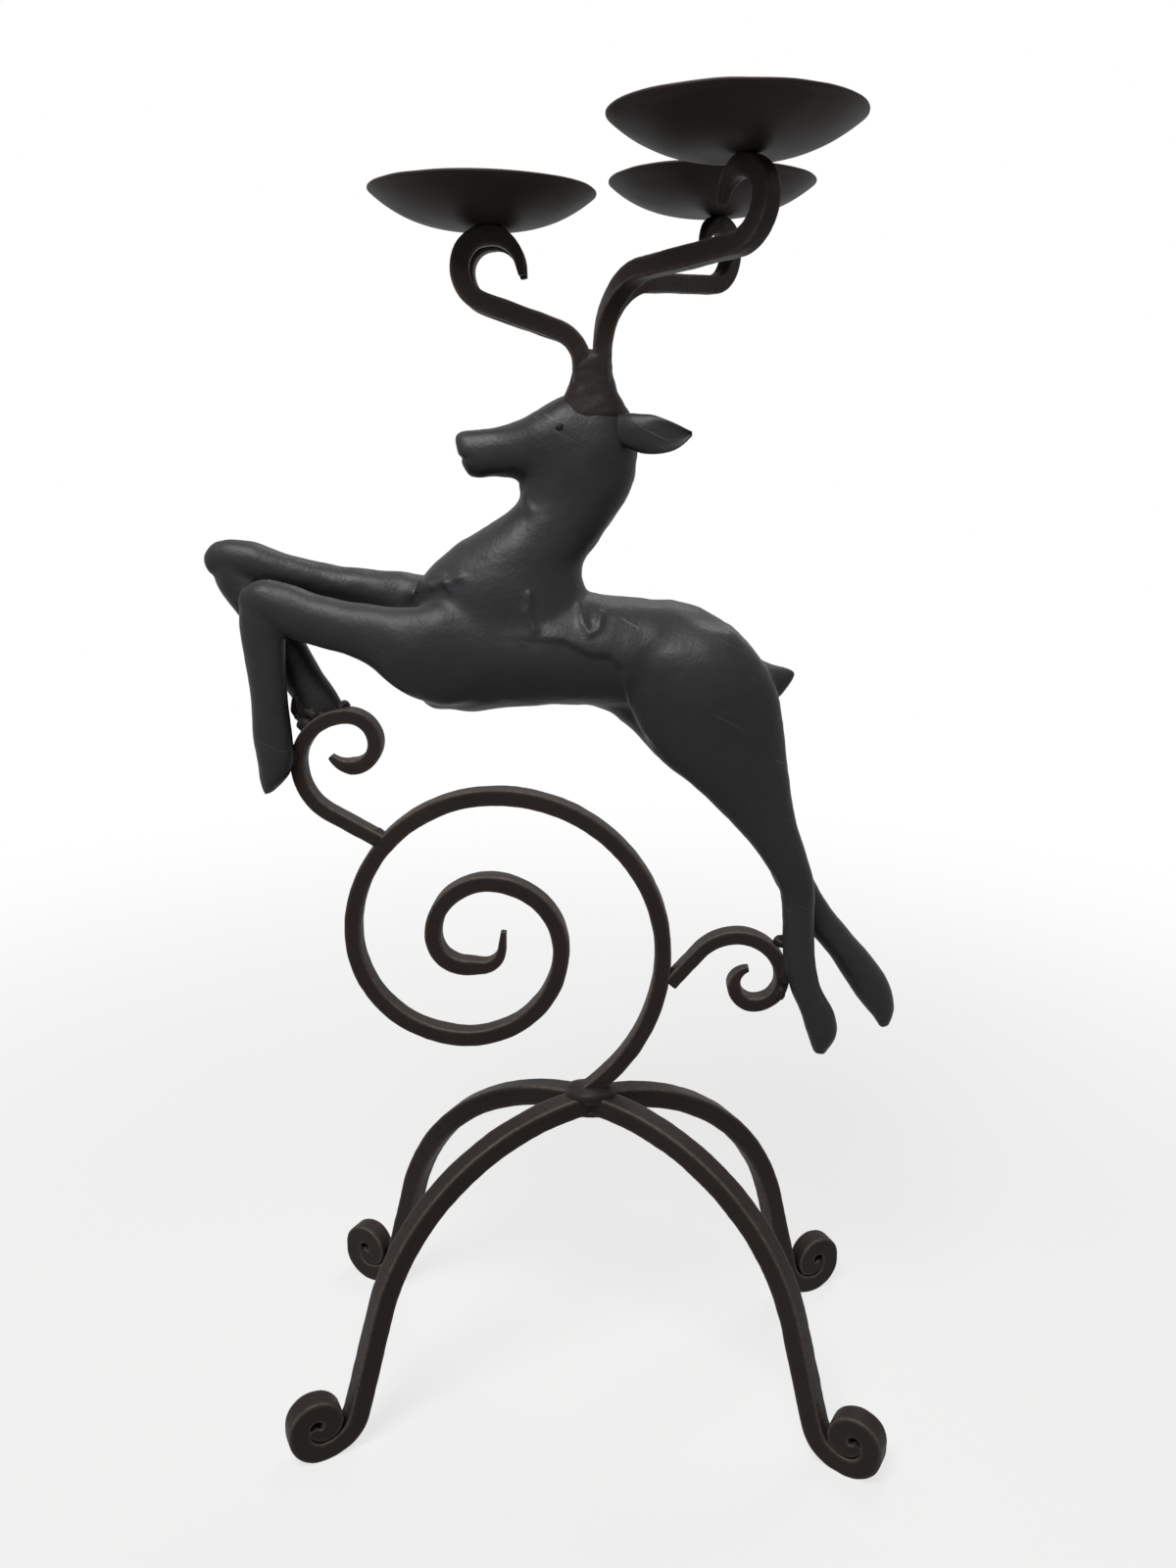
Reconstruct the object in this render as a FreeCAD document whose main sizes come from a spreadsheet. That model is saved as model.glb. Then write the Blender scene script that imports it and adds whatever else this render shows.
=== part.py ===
"""Leaping deer candle holder, welded from forged square bar and formed sheet.

Frame: +X towards the deer's tail, +Y to the deer's right, +Z up, millimetres.
The origin lies on the floor, under the middle of the whole piece.
"""
import FreeCAD, Part
import math
import os
import Sketcher

Vector = FreeCAD.Vector
doc = FreeCAD.newDocument("deer_candle_holder")
sheet = doc.addObject("Spreadsheet::Sheet", "sizes")

# Driving dimensions, in millimetres and degrees.
SIZES = {
    "hub_x": 16.3,
    # Stand: four arched legs of square bar with rolled feet.
    "leg_bar": 11.8,
    "leg_azimuth": 27.5,
    "leg_arch_radius": 129.4,
    "leg_arch_turn": 75.2,
    "leg_run": 60.7,
    "foot_heel_radius": 21.0,
    "foot_toe_radius": 12.0,
    "foot_clear": 0.5,
    "foot_crown_radius": 9.5,
    "foot_back_radius": 8.5,
    "foot_eye_radius": 7.0,
    "foot_eye_turn": 40.0,
    "foot_flat_depth": 0.4,
    "hub_weld_radius": 15.0,
    "hub_weld_top_radius": 9.0,
    "hub_weld_height": 7.5,
    "hub_weld_root": 1.5,
    # Spiral scroll: forged bar, radii of its centre line from the hub inwards.
    "scroll_bar": 9.0,
    "scroll_depth": 10.0,
    "scroll_foot_x": -2.8,
    "scroll_foot_root": 8.0,
    "scroll_foot_run": 16.8,
    "scroll_rise_turn": 47.7,
    "scroll_rise_radius": 104.0,
    "scroll_right_radius": 88.3,
    "scroll_left_radius": 78.8,
    "scroll_bottom_radius": 59.8,
    "scroll_inner_right_radius": 52.4,
    "scroll_inner_top_radius": 38.4,
    "scroll_inner_left_radius": 30.6,
    "scroll_inner_bottom_radius": 18.0,
    "scroll_tip_run": 8.0,
    "scroll_tip_radius": 11.0,
    "scroll_tip_turn": 85.0,
    "scroll_tip_length": 10.0,
    "scroll_tip_bar": 3.0,
    "scroll_tip_depth": 5.0,
    # Brackets: small scrolls between the spiral and the hoofs.
    "bracket_bar": 7.6,
    "bracket_depth": 10.0,
    "bracket_tip_bar": 3.0,
    "bracket_tip_depth": 5.0,
    "front_bracket_run": 46.0,
    "front_bracket_heel_turn": 60.8,
    "front_bracket_heel_radius": 30.0,
    "front_bracket_rise_radius": 26.5,
    "front_bracket_crown_radius": 14.0,
    "front_bracket_back_radius": 13.0,
    "front_bracket_tip_radius": 14.0,
    "front_bracket_tip_turn": 50.0,
    "front_bracket_top_x": -127.5,
    "front_bracket_top_z": -31.2,
    "rear_bracket_run": 38.0,
    "rear_bracket_heel_turn": 50.0,
    "rear_bracket_heel_radius": 26.0,
    "rear_bracket_crown_radius": 24.5,
    "rear_bracket_back_radius": 14.5,
    "rear_bracket_bottom_radius": 11.0,
    "rear_bracket_tip_radius": 9.0,
    "rear_bracket_tip_turn": 80.0,
    "rear_bracket_top_x": 77.5,
    "rear_bracket_top_z": -148.6,
    # Antlers: four square bars, two by two, welded to the crown.
    "antler_bar": 9.0,
    "antler_tip": 3.0,
    "antler_gap": 0.3,
    "stem_x": -4.0,
    "stem_z": 119.0,
    "tine_stem": 20.5,
    "tine_spread": 6.0,
    "tine_bend_radius": 17.0,
    "tine_bend_turn": 72.0,
    "tine_run": 36.0,
    "tine_knee_radius": 15.6,
    "tine_curl_radius": 13.9,
    "tine_tip_turn": 80.0,
    "tine_tip_length": 5.0,
    "beam_stem": 28.2,
    "beam_azimuth": 49.9,
    "beam_bend_radius": 33.0,
    "beam_bend_turn": 86.0,
    "beam_run": 54.6,
    "beam_knee_radius": 17.0,
    "beam_curl_radius": 12.0,
    "beam_tip_turn": 75.0,
    "beam_tip_length": 4.0,
    "collar_width": 30.0,
    "collar_top_width": 19.4,
    "collar_height": 11.0,
    # Pans: dished sheet with a small flat in the middle.
    "pan_radius": 52.0,
    "pan_depth": 14.3,
    "pan_sheet": 1.5,
    "pan_flat_radius": 12.0,
    "pan_seat": 0.3,
    "front_pan_offset": 4.0,
    "rear_pan_offset": 6.5,
    # Deer: height of the middle of its body over the hub, and its formed sheet.
    "deer_height": 250.0,
    "body_sheet": 2.0,
    "eye_radius": 2.6,
    "eye_x": -19.5,
    "eye_z": 112.5,
}

# Stations of the formed pieces: x, y, z of the middle of the section, the slope of its long
# axis from the horizontal, and half its length along and across that axis. They are measured
# from the middle of the deer's body over the hub; y is to the piece's own side.
COLUMNS = ("x", "y", "z", "slope", "tall", "wide")
RING_POLES = 8
STATIONS = {
    "torso": {
        "chest": (-97.0, 0.0, 3.0, 90.0, 9.0, 8.0),
        "breast": (-90.0, 0.0, 3.7, 90.0, 24.0, 18.0),
        "shoulder": (-72.0, 0.0, 4.0, 90.0, 31.2, 27.0),
        "girth": (-45.0, 0.0, 4.7, 90.0, 30.0, 29.0),
        "flank": (-10.0, 0.0, 5.2, 90.0, 28.5, 27.5),
        "loin": (20.0, 0.0, 2.6, 90.0, 28.4, 26.5),
        "croup": (45.0, 0.0, -0.6, 90.0, 28.8, 25.0),
        "rump": (68.0, 0.0, -4.3, 90.0, 20.0, 19.0),
        "dock": (86.0, 0.0, -9.3, 90.0, 10.5, 10.0),
        "end": (93.0, 0.0, -11.3, 90.0, 4.0, 4.0),
    },
    "neck": {
        "root": (-42.0, 0.0, 19.7, -2.0, 46.0, 26.0),
        "base": (-47.0, 0.0, 37.2, -2.0, 41.0, 24.5),
        "low": (-39.5, 0.0, 50.7, -9.3, 31.0, 21.0),
        "middle": (-28.0, 0.0, 60.9, -12.3, 24.6, 18.0),
        "high": (-17.5, 0.0, 72.2, -6.0, 23.6, 16.5),
        "throat": (-11.2, 0.0, 82.2, 5.4, 26.4, 16.5),
        "jaw": (-9.0, 0.0, 94.7, 14.5, 27.9, 17.0),
        "poll": (-3.2, 0.0, 110.2, 6.8, 21.0, 15.5),
        "crown": (-3.0, 0.0, 125.0, -4.0, 14.5, 10.5),
    },
    "head": {
        "back": (0.0, 0.0, 109.7, 75.0, 15.0, 13.0),
        "brow": (-21.0, 0.0, 106.5, 72.2, 22.8, 15.0),
        "cheek": (-35.0, 0.0, 104.0, 73.0, 17.0, 13.0),
        "bridge": (-47.5, 0.0, 100.7, 78.0, 12.3, 10.0),
        "muzzle": (-59.0, 0.0, 99.0, 85.0, 10.8, 8.8),
        "lips": (-66.0, 0.0, 99.0, 93.0, 8.8, 7.8),
        "nose": (-69.5, 0.0, 101.0, 95.0, 4.0, 4.0),
    },
    "foreleg_left": {
        "blade": (-48.0, 19.0, 4.0, 90.0, 14.0, 8.0),
        "shoulder": (-72.0, 20.0, 3.6, 90.0, 25.4, 11.5),
        "elbow": (-94.0, 17.5, 4.7, 90.0, 22.5, 13.0),
        "upper": (-114.0, 15.0, 13.4, 86.0, 15.0, 11.5),
        "arm": (-136.0, 13.0, 18.7, 82.0, 12.6, 10.0),
        "fore": (-155.0, 12.0, 24.5, 82.0, 12.8, 9.5),
        "knee": (-168.0, 12.0, 28.7, 78.0, 10.0, 8.5),
        "cap": (-175.5, 12.0, 30.7, 75.0, 4.5, 4.5),
    },
    "foreshank_left": {
        "top": (-165.0, 12.0, 30.0, 0.0, 10.5, 7.5),
        "knee": (-165.5, 12.0, 20.0, 0.0, 11.3, 8.5),
        "shin": (-165.5, 11.5, 2.0, 0.0, 10.4, 8.0),
        "cannon": (-164.8, 10.5, -22.0, 0.0, 9.4, 7.8),
        "pastern": (-164.4, 9.5, -42.0, 0.0, 9.8, 8.0),
        "hoof": (-163.5, 9.0, -55.0, 6.0, 9.2, 8.3),
        "sole": (-165.2, 9.0, -63.0, 14.0, 7.0, 7.5),
        "toe": (-168.3, 9.0, -70.0, 20.0, 2.2, 3.0),
    },
    "foreleg_right": {
        "blade": (-48.0, 19.0, 4.0, 90.0, 14.0, 8.0),
        "shoulder": (-72.0, 20.0, 6.0, 90.0, 24.0, 11.5),
        "elbow": (-94.0, 18.0, 18.0, 86.0, 19.0, 12.0),
        "upper": (-114.0, 16.0, 29.5, 86.0, 11.5, 10.0),
        "arm": (-136.0, 14.0, 34.5, 80.0, 9.5, 9.0),
        "fore": (-158.0, 12.0, 40.0, 76.0, 9.0, 8.5),
        "knee": (-181.0, 11.0, 46.4, 72.0, 10.2, 8.5),
        "cap": (-196.0, 11.0, 48.4, 72.0, 7.0, 5.5),
    },
    "foreshank_right": {
        "top": (-185.5, 11.0, 49.0, -12.0, 8.0, 7.0),
        "knee": (-182.8, 11.0, 38.0, 8.0, 10.5, 8.5),
        "shin": (-172.5, 10.5, 21.0, 20.0, 10.5, 8.5),
        "cannon": (-160.0, 9.0, 1.0, 22.0, 10.2, 8.3),
        "pastern": (-152.5, 7.5, -13.0, 18.0, 10.4, 8.3),
        "hoof": (-145.0, 7.0, -24.5, 14.0, 10.8, 8.0),
        "toe": (-140.5, 7.0, -33.5, 14.0, 11.5, 6.5),
    },
    "haunch": {
        "top": (52.0, 14.0, 20.0, -4.0, 16.0, 6.0),
        "croup": (47.0, 15.0, 8.0, -2.0, 32.0, 13.5),
        "flank": (50.5, 15.2, -6.0, 0.0, 37.5, 16.3),
        "thigh": (56.5, 14.6, -24.0, 0.0, 36.5, 16.4),
        "stifle": (63.0, 13.5, -42.5, 3.0, 32.5, 14.8),
        "gaskin": (75.0, 13.5, -61.0, 4.0, 23.5, 11.8),
        "lower": (87.3, 12.5, -80.5, 5.0, 15.4, 10.0),
        "above_hock": (99.5, 11.5, -100.8, 4.0, 11.0, 8.6),
    },
    "hindshank_left": {
        "hock": (105.7, 10.5, -116.0, 9.0, 9.4, 8.0),
        "cannon": (107.7, 10.0, -135.4, 6.0, 8.4, 7.6),
        "shin": (109.6, 9.5, -158.5, 0.0, 8.4, 7.6),
        "pastern": (114.5, 9.0, -175.5, 2.0, 8.4, 7.6),
        "heel": (121.4, 9.0, -189.6, 0.0, 9.2, 8.0),
        "hoof": (124.1, 9.0, -201.0, 2.0, 8.0, 7.6),
        "toe": (123.6, 9.0, -212.6, -6.0, 3.2, 3.6),
    },
    "hindshank_right": {
        "hock": (107.5, 10.5, -119.0, 18.0, 9.8, 8.0),
        "cannon": (119.5, 10.0, -137.5, 36.0, 9.2, 7.6),
        "shin": (133.5, 9.5, -153.0, 40.0, 8.6, 7.6),
        "heel": (146.2, 9.0, -169.5, 36.0, 9.4, 8.0),
        "hoof": (155.3, 9.0, -184.2, 28.0, 9.0, 7.8),
        "sole": (160.2, 9.0, -196.0, 18.0, 5.6, 6.0),
        "toe": (160.8, 9.0, -203.4, 10.0, 2.4, 3.0),
    },
    "ear": {
        "root": (10.0, 9.0, 112.0, 84.0, 6.0, 4.0),
        "burr": (17.0, 13.0, 111.5, 88.0, 7.6, 4.2),
        "blade": (27.0, 17.0, 110.0, 94.0, 9.0, 3.4),
        "point": (36.0, 20.0, 109.6, 98.0, 5.2, 2.2),
        "tip": (42.6, 22.0, 109.3, 100.0, 1.2, 1.0),
    },
    "tail": {
        "root": (84.0, 0.0, -10.0, 75.0, 7.5, 6.0),
        "dock": (92.0, 0.0, -8.0, 68.0, 6.2, 5.0),
        "tip": (98.6, 0.0, -6.4, 62.0, 2.4, 2.2),
    },
}

# The foot rises just enough for its rolled end to clear the inside of the heel.
half_bar = SIZES["leg_bar"] / 2
eye_turn = math.radians(SIZES["foot_eye_turn"])
heel_inside = SIZES["foot_heel_radius"] - half_bar - SIZES["foot_clear"]
end_x = (
    SIZES["foot_toe_radius"] - SIZES["foot_crown_radius"] - SIZES["foot_back_radius"]
    + SIZES["foot_eye_radius"] - (SIZES["foot_eye_radius"] + half_bar) * math.cos(eye_turn)
)
end_z = SIZES["foot_heel_radius"] - math.sqrt(heel_inside ** 2 - end_x ** 2)
SIZES["foot_rise"] = (
    end_z + (SIZES["foot_eye_radius"] + half_bar) * math.sin(eye_turn)
    - SIZES["foot_toe_radius"] - SIZES["foot_crown_radius"] + SIZES["foot_back_radius"]
)

row = 0
for name, value in SIZES.items():
    row += 1
    sheet.set(f"A{row}", name)
    sheet.set(f"B{row}", str(value))
    sheet.setAlias(f"B{row}", name)
for form, stations in STATIONS.items():
    for station, values in stations.items():
        for column, value in zip(COLUMNS, values):
            row += 1
            alias = f"{form}_{station}_{column}"
            sheet.set(f"A{row}", alias)
            sheet.set(f"B{row}", str(value))
            sheet.setAlias(f"B{row}", alias)
doc.recompute()


def size(name):
    """The number in the sheet under this name."""
    return float(sheet.get(name))


def origin_plane(body, role):
    """One of a body's own origin planes."""
    return next(plane for plane in body.Origin.OriginFeatures if plane.Role == role)


def new_sketch(body, name, role):
    """An empty sketch on one of the body's origin planes."""
    sketch = body.newObject("Sketcher::SketchObject", name)
    sketch.AttachmentSupport = (origin_plane(body, role), [""])
    sketch.MapMode = "FlatFace"
    return sketch


def bind(sketch, constraint, expression):
    """Adds a dimension to a sketch and ties it to the sheet."""
    index = sketch.addConstraint(constraint)
    sketch.setExpression(f"Constraints[{index}]", expression)


def bar_section(body, name, width, height, place=(0.0, 0.0, 0.0), twist=0.0):
    """A rectangle across the bar at a place on its centre line, twisted about that line."""
    x, z, heading = place
    ahead = Vector(math.cos(math.radians(heading)), 0, math.sin(math.radians(heading)))
    sideways = Vector(0, 1, 0)
    turn = FreeCAD.Rotation(sideways, ahead.cross(sideways), ahead, "ZXY")
    sketch = body.newObject("Sketcher::SketchObject", name)
    sketch.Placement = FreeCAD.Placement(
        Vector(x, 0, z), turn.multiply(FreeCAD.Rotation(Vector(0, 0, 1), twist)),
    )
    half_width = size(width) / 2
    half_height = size(height) / 2
    corners = [
        Vector(-half_width, -half_height, 0),
        Vector(half_width, -half_height, 0),
        Vector(half_width, half_height, 0),
        Vector(-half_width, half_height, 0),
    ]
    for index in range(4):
        sketch.addGeometry(Part.LineSegment(corners[index], corners[(index + 1) % 4]), False)
    for index in range(4):
        sketch.addConstraint(Sketcher.Constraint("Coincident", index, 2, (index + 1) % 4, 1))
    for index in (0, 2):
        sketch.addConstraint(Sketcher.Constraint("Horizontal", index))
    for index in (1, 3):
        sketch.addConstraint(Sketcher.Constraint("Vertical", index))
    sketch.addConstraint(Sketcher.Constraint("Symmetric", 0, 1, 2, 1, -1, 1))
    bind(sketch, Sketcher.Constraint("Distance", 0, 2 * half_width), f"sizes.{width}")
    bind(sketch, Sketcher.Constraint("Distance", 1, 2 * half_height), f"sizes.{height}")
    return sketch


class Pen:
    """Draws the centre line of a bent bar: straight runs and tangent arcs, end to end."""

    def __init__(self, point=(0.0, 0.0), heading=0.0):
        self.x, self.z = point
        self.heading = heading
        self.places = [(self.x, self.z, heading)]

    def step(self, move):
        """Moves along one run or arc and gives its curve and, for an arc, whether it turns left."""
        start = Vector(self.x, self.z, 0)
        along = math.radians(self.heading)
        if move[0] == "run":
            self.x += move[1] * math.cos(along)
            self.z += move[1] * math.sin(along)
            curve = Part.LineSegment(start, Vector(self.x, self.z, 0))
            left = True
        else:
            radius, turn = move[1], move[2]
            left = move[0] == "left"
            side = 1 if left else -1
            centre = start + Vector(-math.sin(along), math.cos(along), 0) * (radius * side)
            begin = along - side * math.pi / 2
            end = begin + side * math.radians(turn)
            circle = Part.Circle(centre, Vector(0, 0, 1), radius)
            curve = Part.ArcOfCircle(circle, *((begin, end) if left else (end, begin)))
            self.x = centre.x + radius * math.cos(end)
            self.z = centre.y + radius * math.sin(end)
            self.heading += side * turn
        self.places.append((self.x, self.z, self.heading))
        return curve, left


def numbers(move):
    """A move with its named sizes read from the sheet."""
    return (move[0],) + tuple(size(part) if isinstance(part, str) else part for part in move[1:])


def walk(moves, point=(0.0, 0.0), heading=0.0):
    """Where a bar's centre line stands after each of its moves: x, z and heading."""
    pen = Pen(point, heading)
    for move in moves:
        pen.step(numbers(move))
    return pen.places


def bar_path(body, name, moves):
    """A sketch of the bar's centre line, every run, radius and turn tied to the sheet."""
    sketch = new_sketch(body, name, "XZ_Plane")
    pen = Pen()
    last = None
    for index, move in enumerate(moves):
        curve, left = pen.step(numbers(move))
        sketch.addGeometry(curve, False)
        begin, end = (1, 2) if left else (2, 1)
        if last is None:
            sketch.addConstraint(Sketcher.Constraint("Coincident", index, begin, -1, 1))
        else:
            sketch.addConstraint(Sketcher.Constraint("Tangent", last[0], last[1], index, begin))
        if move[0] == "run":
            if last is None:
                sketch.addConstraint(Sketcher.Constraint("Horizontal", index))
            bind(sketch, Sketcher.Constraint("Distance", index, size(move[1])), f"sizes.{move[1]}")
        else:
            if last is None:
                sketch.addConstraint(Sketcher.Constraint("PointOnObject", index, 3, -2))
            bind(sketch, Sketcher.Constraint("Radius", index, size(move[1])), f"sizes.{move[1]}")
            turn = move[2]
            if isinstance(turn, str):
                angle = Sketcher.Constraint("Angle", index, math.radians(size(turn)))
                bind(sketch, angle, f"sizes.{turn} * 1 deg")
            else:
                sketch.addConstraint(Sketcher.Constraint("Angle", index, math.radians(turn)))
        last = (index, end)
    return sketch


def bar(name, section, moves, tip_section=None, tip_moves=(), foot_twist=0.0):
    """A bent bar: its section swept along its moves, then drawn down to a forged tip. A foot that
    stands twisted to the bar's plane comes true to it along the second move."""
    body = doc.addObject("PartDesign::Body", f"{name}_bar")
    path = bar_path(body, f"{name}_path", list(moves) + list(tip_moves))
    places = walk(list(moves) + list(tip_moves))
    stretches = [(0, len(moves), 0.0, 0.0, section)]
    if foot_twist:
        stretches = [
            (0, 1, foot_twist, foot_twist, section),
            (1, 2, foot_twist, 0.0, section),
            (2, len(moves), 0.0, 0.0, section),
        ]
    if tip_moves:
        stretches.append((len(moves), len(places) - 1, 0.0, 0.0, tip_section))
    for first, last, twist, end_twist, end in stretches:
        sweep = body.newObject("PartDesign::AdditivePipe", f"{name}_sweep_{first}")
        sweep.Profile = bar_section(body, f"{name}_section_{first}", *section, places[first], twist)
        sweep.Spine = (path, [f"Edge{index + 1}" for index in range(first, last)])
        if end_twist != twist or end != section:
            far = bar_section(body, f"{name}_end_{first}", *end, places[last], end_twist)
            sweep.Transformation = "Multisection"
            sweep.Sections = [(far, [""])]
    return body


pieces = {}


def finish(name, thing):
    """Takes an object as the finished piece of that name."""
    thing.Label = name
    pieces[name] = thing


def trim(name, thing, *others):
    """The piece, cut to the faces of the pieces that it is welded to."""
    for index, other in enumerate(others):
        cut = doc.addObject("Part::Cut", f"{name}_cut_{index + 1}")
        cut.Base = thing
        cut.Tool = other
        thing = cut
    return thing


def within(name, thing, region):
    """The part of the piece that lies in a region."""
    common = doc.addObject("Part::Common", f"{name}_within")
    common.Base = thing
    common.Tool = region
    return common


def block(name, low, high):
    """A box between two corners, used as a region."""
    box = doc.addObject("Part::Box", name)
    box.Length = high.x - low.x
    box.Width = high.y - low.y
    box.Height = high.z - low.z
    box.Placement.Base = low
    return box


def tilt(slope):
    """Turns a bar's own plane so that it starts at this slope over +X."""
    return FreeCAD.Rotation(Vector(0, 1, 0), -slope)


# Stand legs: each arch falls away from the hub and rolls outwards into a foot.
LEG = [
    ("right", "leg_arch_radius", "leg_arch_turn"),
    ("run", "leg_run"),
    ("left", "foot_heel_radius", "leg_arch_turn"),
    ("left", "foot_toe_radius", 90.0),
    ("run", "foot_rise"),
    ("left", "foot_crown_radius", 90.0),
    ("left", "foot_back_radius", 90.0),
    ("left", "foot_eye_radius", "foot_eye_turn"),
]
leg_places = walk(LEG)
sole = leg_places[3]
toe = leg_places[4]
hub_height = size("leg_bar") / 2 - size("foot_flat_depth") - sole[1]
hub = Vector(size("hub_x"), 0, hub_height)
hub_top = hub_height + size("leg_bar") / 2
stand_reach = toe[0] + size("leg_bar")
stand_legs = []
for end, forward in (("front", -1), ("rear", 1)):
    for hand, sideways in (("left", -1), ("right", 1)):
        name = f"stand_leg_{end}_{hand}"
        leg = bar(name, ("leg_bar", "leg_bar"), LEG)
        azimuth = math.degrees(math.atan2(0, forward)) + forward * sideways * size("leg_azimuth")
        leg.Placement = FreeCAD.Placement(hub, FreeCAD.Rotation(Vector(0, 0, 1), azimuth))
        edge_x = hub.x + forward * stand_reach
        edge_y = sideways * stand_reach
        low = Vector(min(hub.x, edge_x), min(0, edge_y), 0)
        high = Vector(max(hub.x, edge_x), max(0, edge_y), hub_top + size("leg_bar"))
        quarter = block(f"{name}_quarter", low, high)
        mitred = within(name, leg, quarter)
        finish(name, mitred)
        stand_legs.append(mitred)

# Spiral scroll: rises from the hub, goes once round and winds in to a drawn-down tip.
SCROLL = [
    ("run", "scroll_foot_run"),
    ("left", "scroll_rise_radius", "scroll_rise_turn"),
    ("left", "scroll_right_radius", 90.0),
    ("left", "scroll_left_radius", 90.0),
    ("left", "scroll_bottom_radius", 90.0),
    ("left", "scroll_inner_right_radius", 90.0),
    ("left", "scroll_inner_top_radius", 90.0),
    ("left", "scroll_inner_left_radius", 90.0),
    ("left", "scroll_inner_bottom_radius", 90.0),
]
SCROLL_TIP = [
    ("run", "scroll_tip_run"),
    ("left", "scroll_tip_radius", "scroll_tip_turn"),
    ("run", "scroll_tip_length"),
]
scroll_slope = 90.0 - size("scroll_rise_turn")
scroll_start = (
    hub.x + size("scroll_foot_x") - size("scroll_foot_root") * math.cos(math.radians(scroll_slope)),
    hub_top - size("scroll_foot_root") * math.sin(math.radians(scroll_slope)),
)
scroll_bar = bar(
    "spiral_scroll", ("scroll_depth", "scroll_bar"), SCROLL,
    ("scroll_tip_depth", "scroll_tip_bar"), SCROLL_TIP,
)
scroll_bar.Placement = FreeCAD.Placement(Vector(scroll_start[0], 0, scroll_start[1]), tilt(scroll_slope))
scroll_side = size("scroll_foot_root") + size("scroll_bar") + size("scroll_depth")
hub_block = block(
    "hub_block",
    Vector(hub.x - 2 * scroll_side, -scroll_side, hub_top - 2 * scroll_side),
    Vector(hub.x + 2 * scroll_side, scroll_side, hub_top),
)
spiral_scroll = trim("spiral_scroll", scroll_bar, hub_block)
finish("spiral_scroll", spiral_scroll)

# Hub weld: a mound round the foot of the scroll, on top of the four legs.
mound = doc.addObject("Part::Cone", "hub_mound")
mound.setExpression("Radius1", "sizes.hub_weld_radius")
mound.setExpression("Radius2", "sizes.hub_weld_top_radius")
mound.setExpression("Height", "sizes.hub_weld_height")
mound.Placement.Base = Vector(hub.x, 0, hub_top - size("hub_weld_root"))
finish("hub_weld", trim("hub_weld", mound, spiral_scroll, *stand_legs))

# Brackets: each springs from the outside of the scroll, and its crown carries the hoofs.
deer = Vector(hub.x, 0, hub_height + size("deer_height"))
scroll_places = walk(SCROLL, scroll_start, scroll_slope)
scroll_right = scroll_places[2]
scroll_left = scroll_places[4]


def scroll_round(name, radius, x, z):
    """The round that one arc of the scroll fills out to its outer face."""
    rounded = doc.addObject("Part::Cylinder", name)
    rounded.setExpression("Radius", f"sizes.{radius} + sizes.scroll_bar / 2")
    rounded.setExpression("Height", "2 * sizes.bracket_depth")
    across = FreeCAD.Rotation(Vector(0, 0, 1), Vector(0, 1, 0))
    rounded.Placement = FreeCAD.Placement(Vector(x, -size("bracket_depth"), z), across)
    return rounded


def bracket(name, moves, crown, slope, rounded):
    """A bracket scroll, set with its crown where the deer needs it and cut to the scroll."""
    tip = [("right", f"{name}_tip_radius", f"{name}_tip_turn")]
    bent = bar(
        name, ("bracket_depth", "bracket_bar"), moves, ("bracket_tip_depth", "bracket_tip_bar"), tip,
    )
    top = walk(moves, heading=slope)[crown]
    start = deer + Vector(size(f"{name}_top_x") - top[0], 0, size(f"{name}_top_z") - top[1])
    bent.Placement = FreeCAD.Placement(start, tilt(slope))
    trimmed = trim(name, bent, rounded)
    finish(name, trimmed)
    return trimmed


FRONT_BRACKET = [
    ("run", "front_bracket_run"),
    ("right", "front_bracket_heel_radius", "front_bracket_heel_turn"),
    ("right", "front_bracket_rise_radius", 90.0),
    ("right", "front_bracket_crown_radius", 90.0),
    ("right", "front_bracket_back_radius", 90.0),
]
REAR_BRACKET = [
    ("run", "rear_bracket_run"),
    ("right", "rear_bracket_heel_radius", "rear_bracket_heel_turn"),
    ("right", "rear_bracket_crown_radius", 90.0),
    ("right", "rear_bracket_back_radius", 90.0),
    ("right", "rear_bracket_bottom_radius", 90.0),
]
front_round = scroll_round(
    "scroll_left_round", "scroll_left_radius", scroll_left[0] + size("scroll_left_radius"), scroll_left[1],
)
rear_round = scroll_round(
    "scroll_rise_round", "scroll_rise_radius", scroll_right[0] - size("scroll_rise_radius"), scroll_right[1],
)
front_bracket = bracket(
    "front_bracket", FRONT_BRACKET, 3, 90.0 + size("front_bracket_heel_turn"), front_round,
)
rear_bracket = bracket("rear_bracket", REAR_BRACKET, 2, size("rear_bracket_heel_turn"), rear_round)


def ring(form, station, side, inset):
    """One section of a formed piece: the poles of an oval, drawn in by the inset."""
    x, y, z, slope, tall, wide = (size(f"{form}_{station}_{column}") for column in COLUMNS)
    along = Vector(math.cos(math.radians(slope)), 0, math.sin(math.radians(slope)))
    across = Vector(0, 1, 0)
    step = 2 * math.pi / RING_POLES
    swell = 6 / (4 + 2 * math.cos(step))
    poles = []
    for index in range(RING_POLES):
        forth = along * (swell * (tall - inset) * math.cos(index * step))
        aside = across * (swell * (wide - inset) * math.sin(index * step))
        poles.append(Vector(x, side * y, z) + forth + aside)
    return poles


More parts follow.
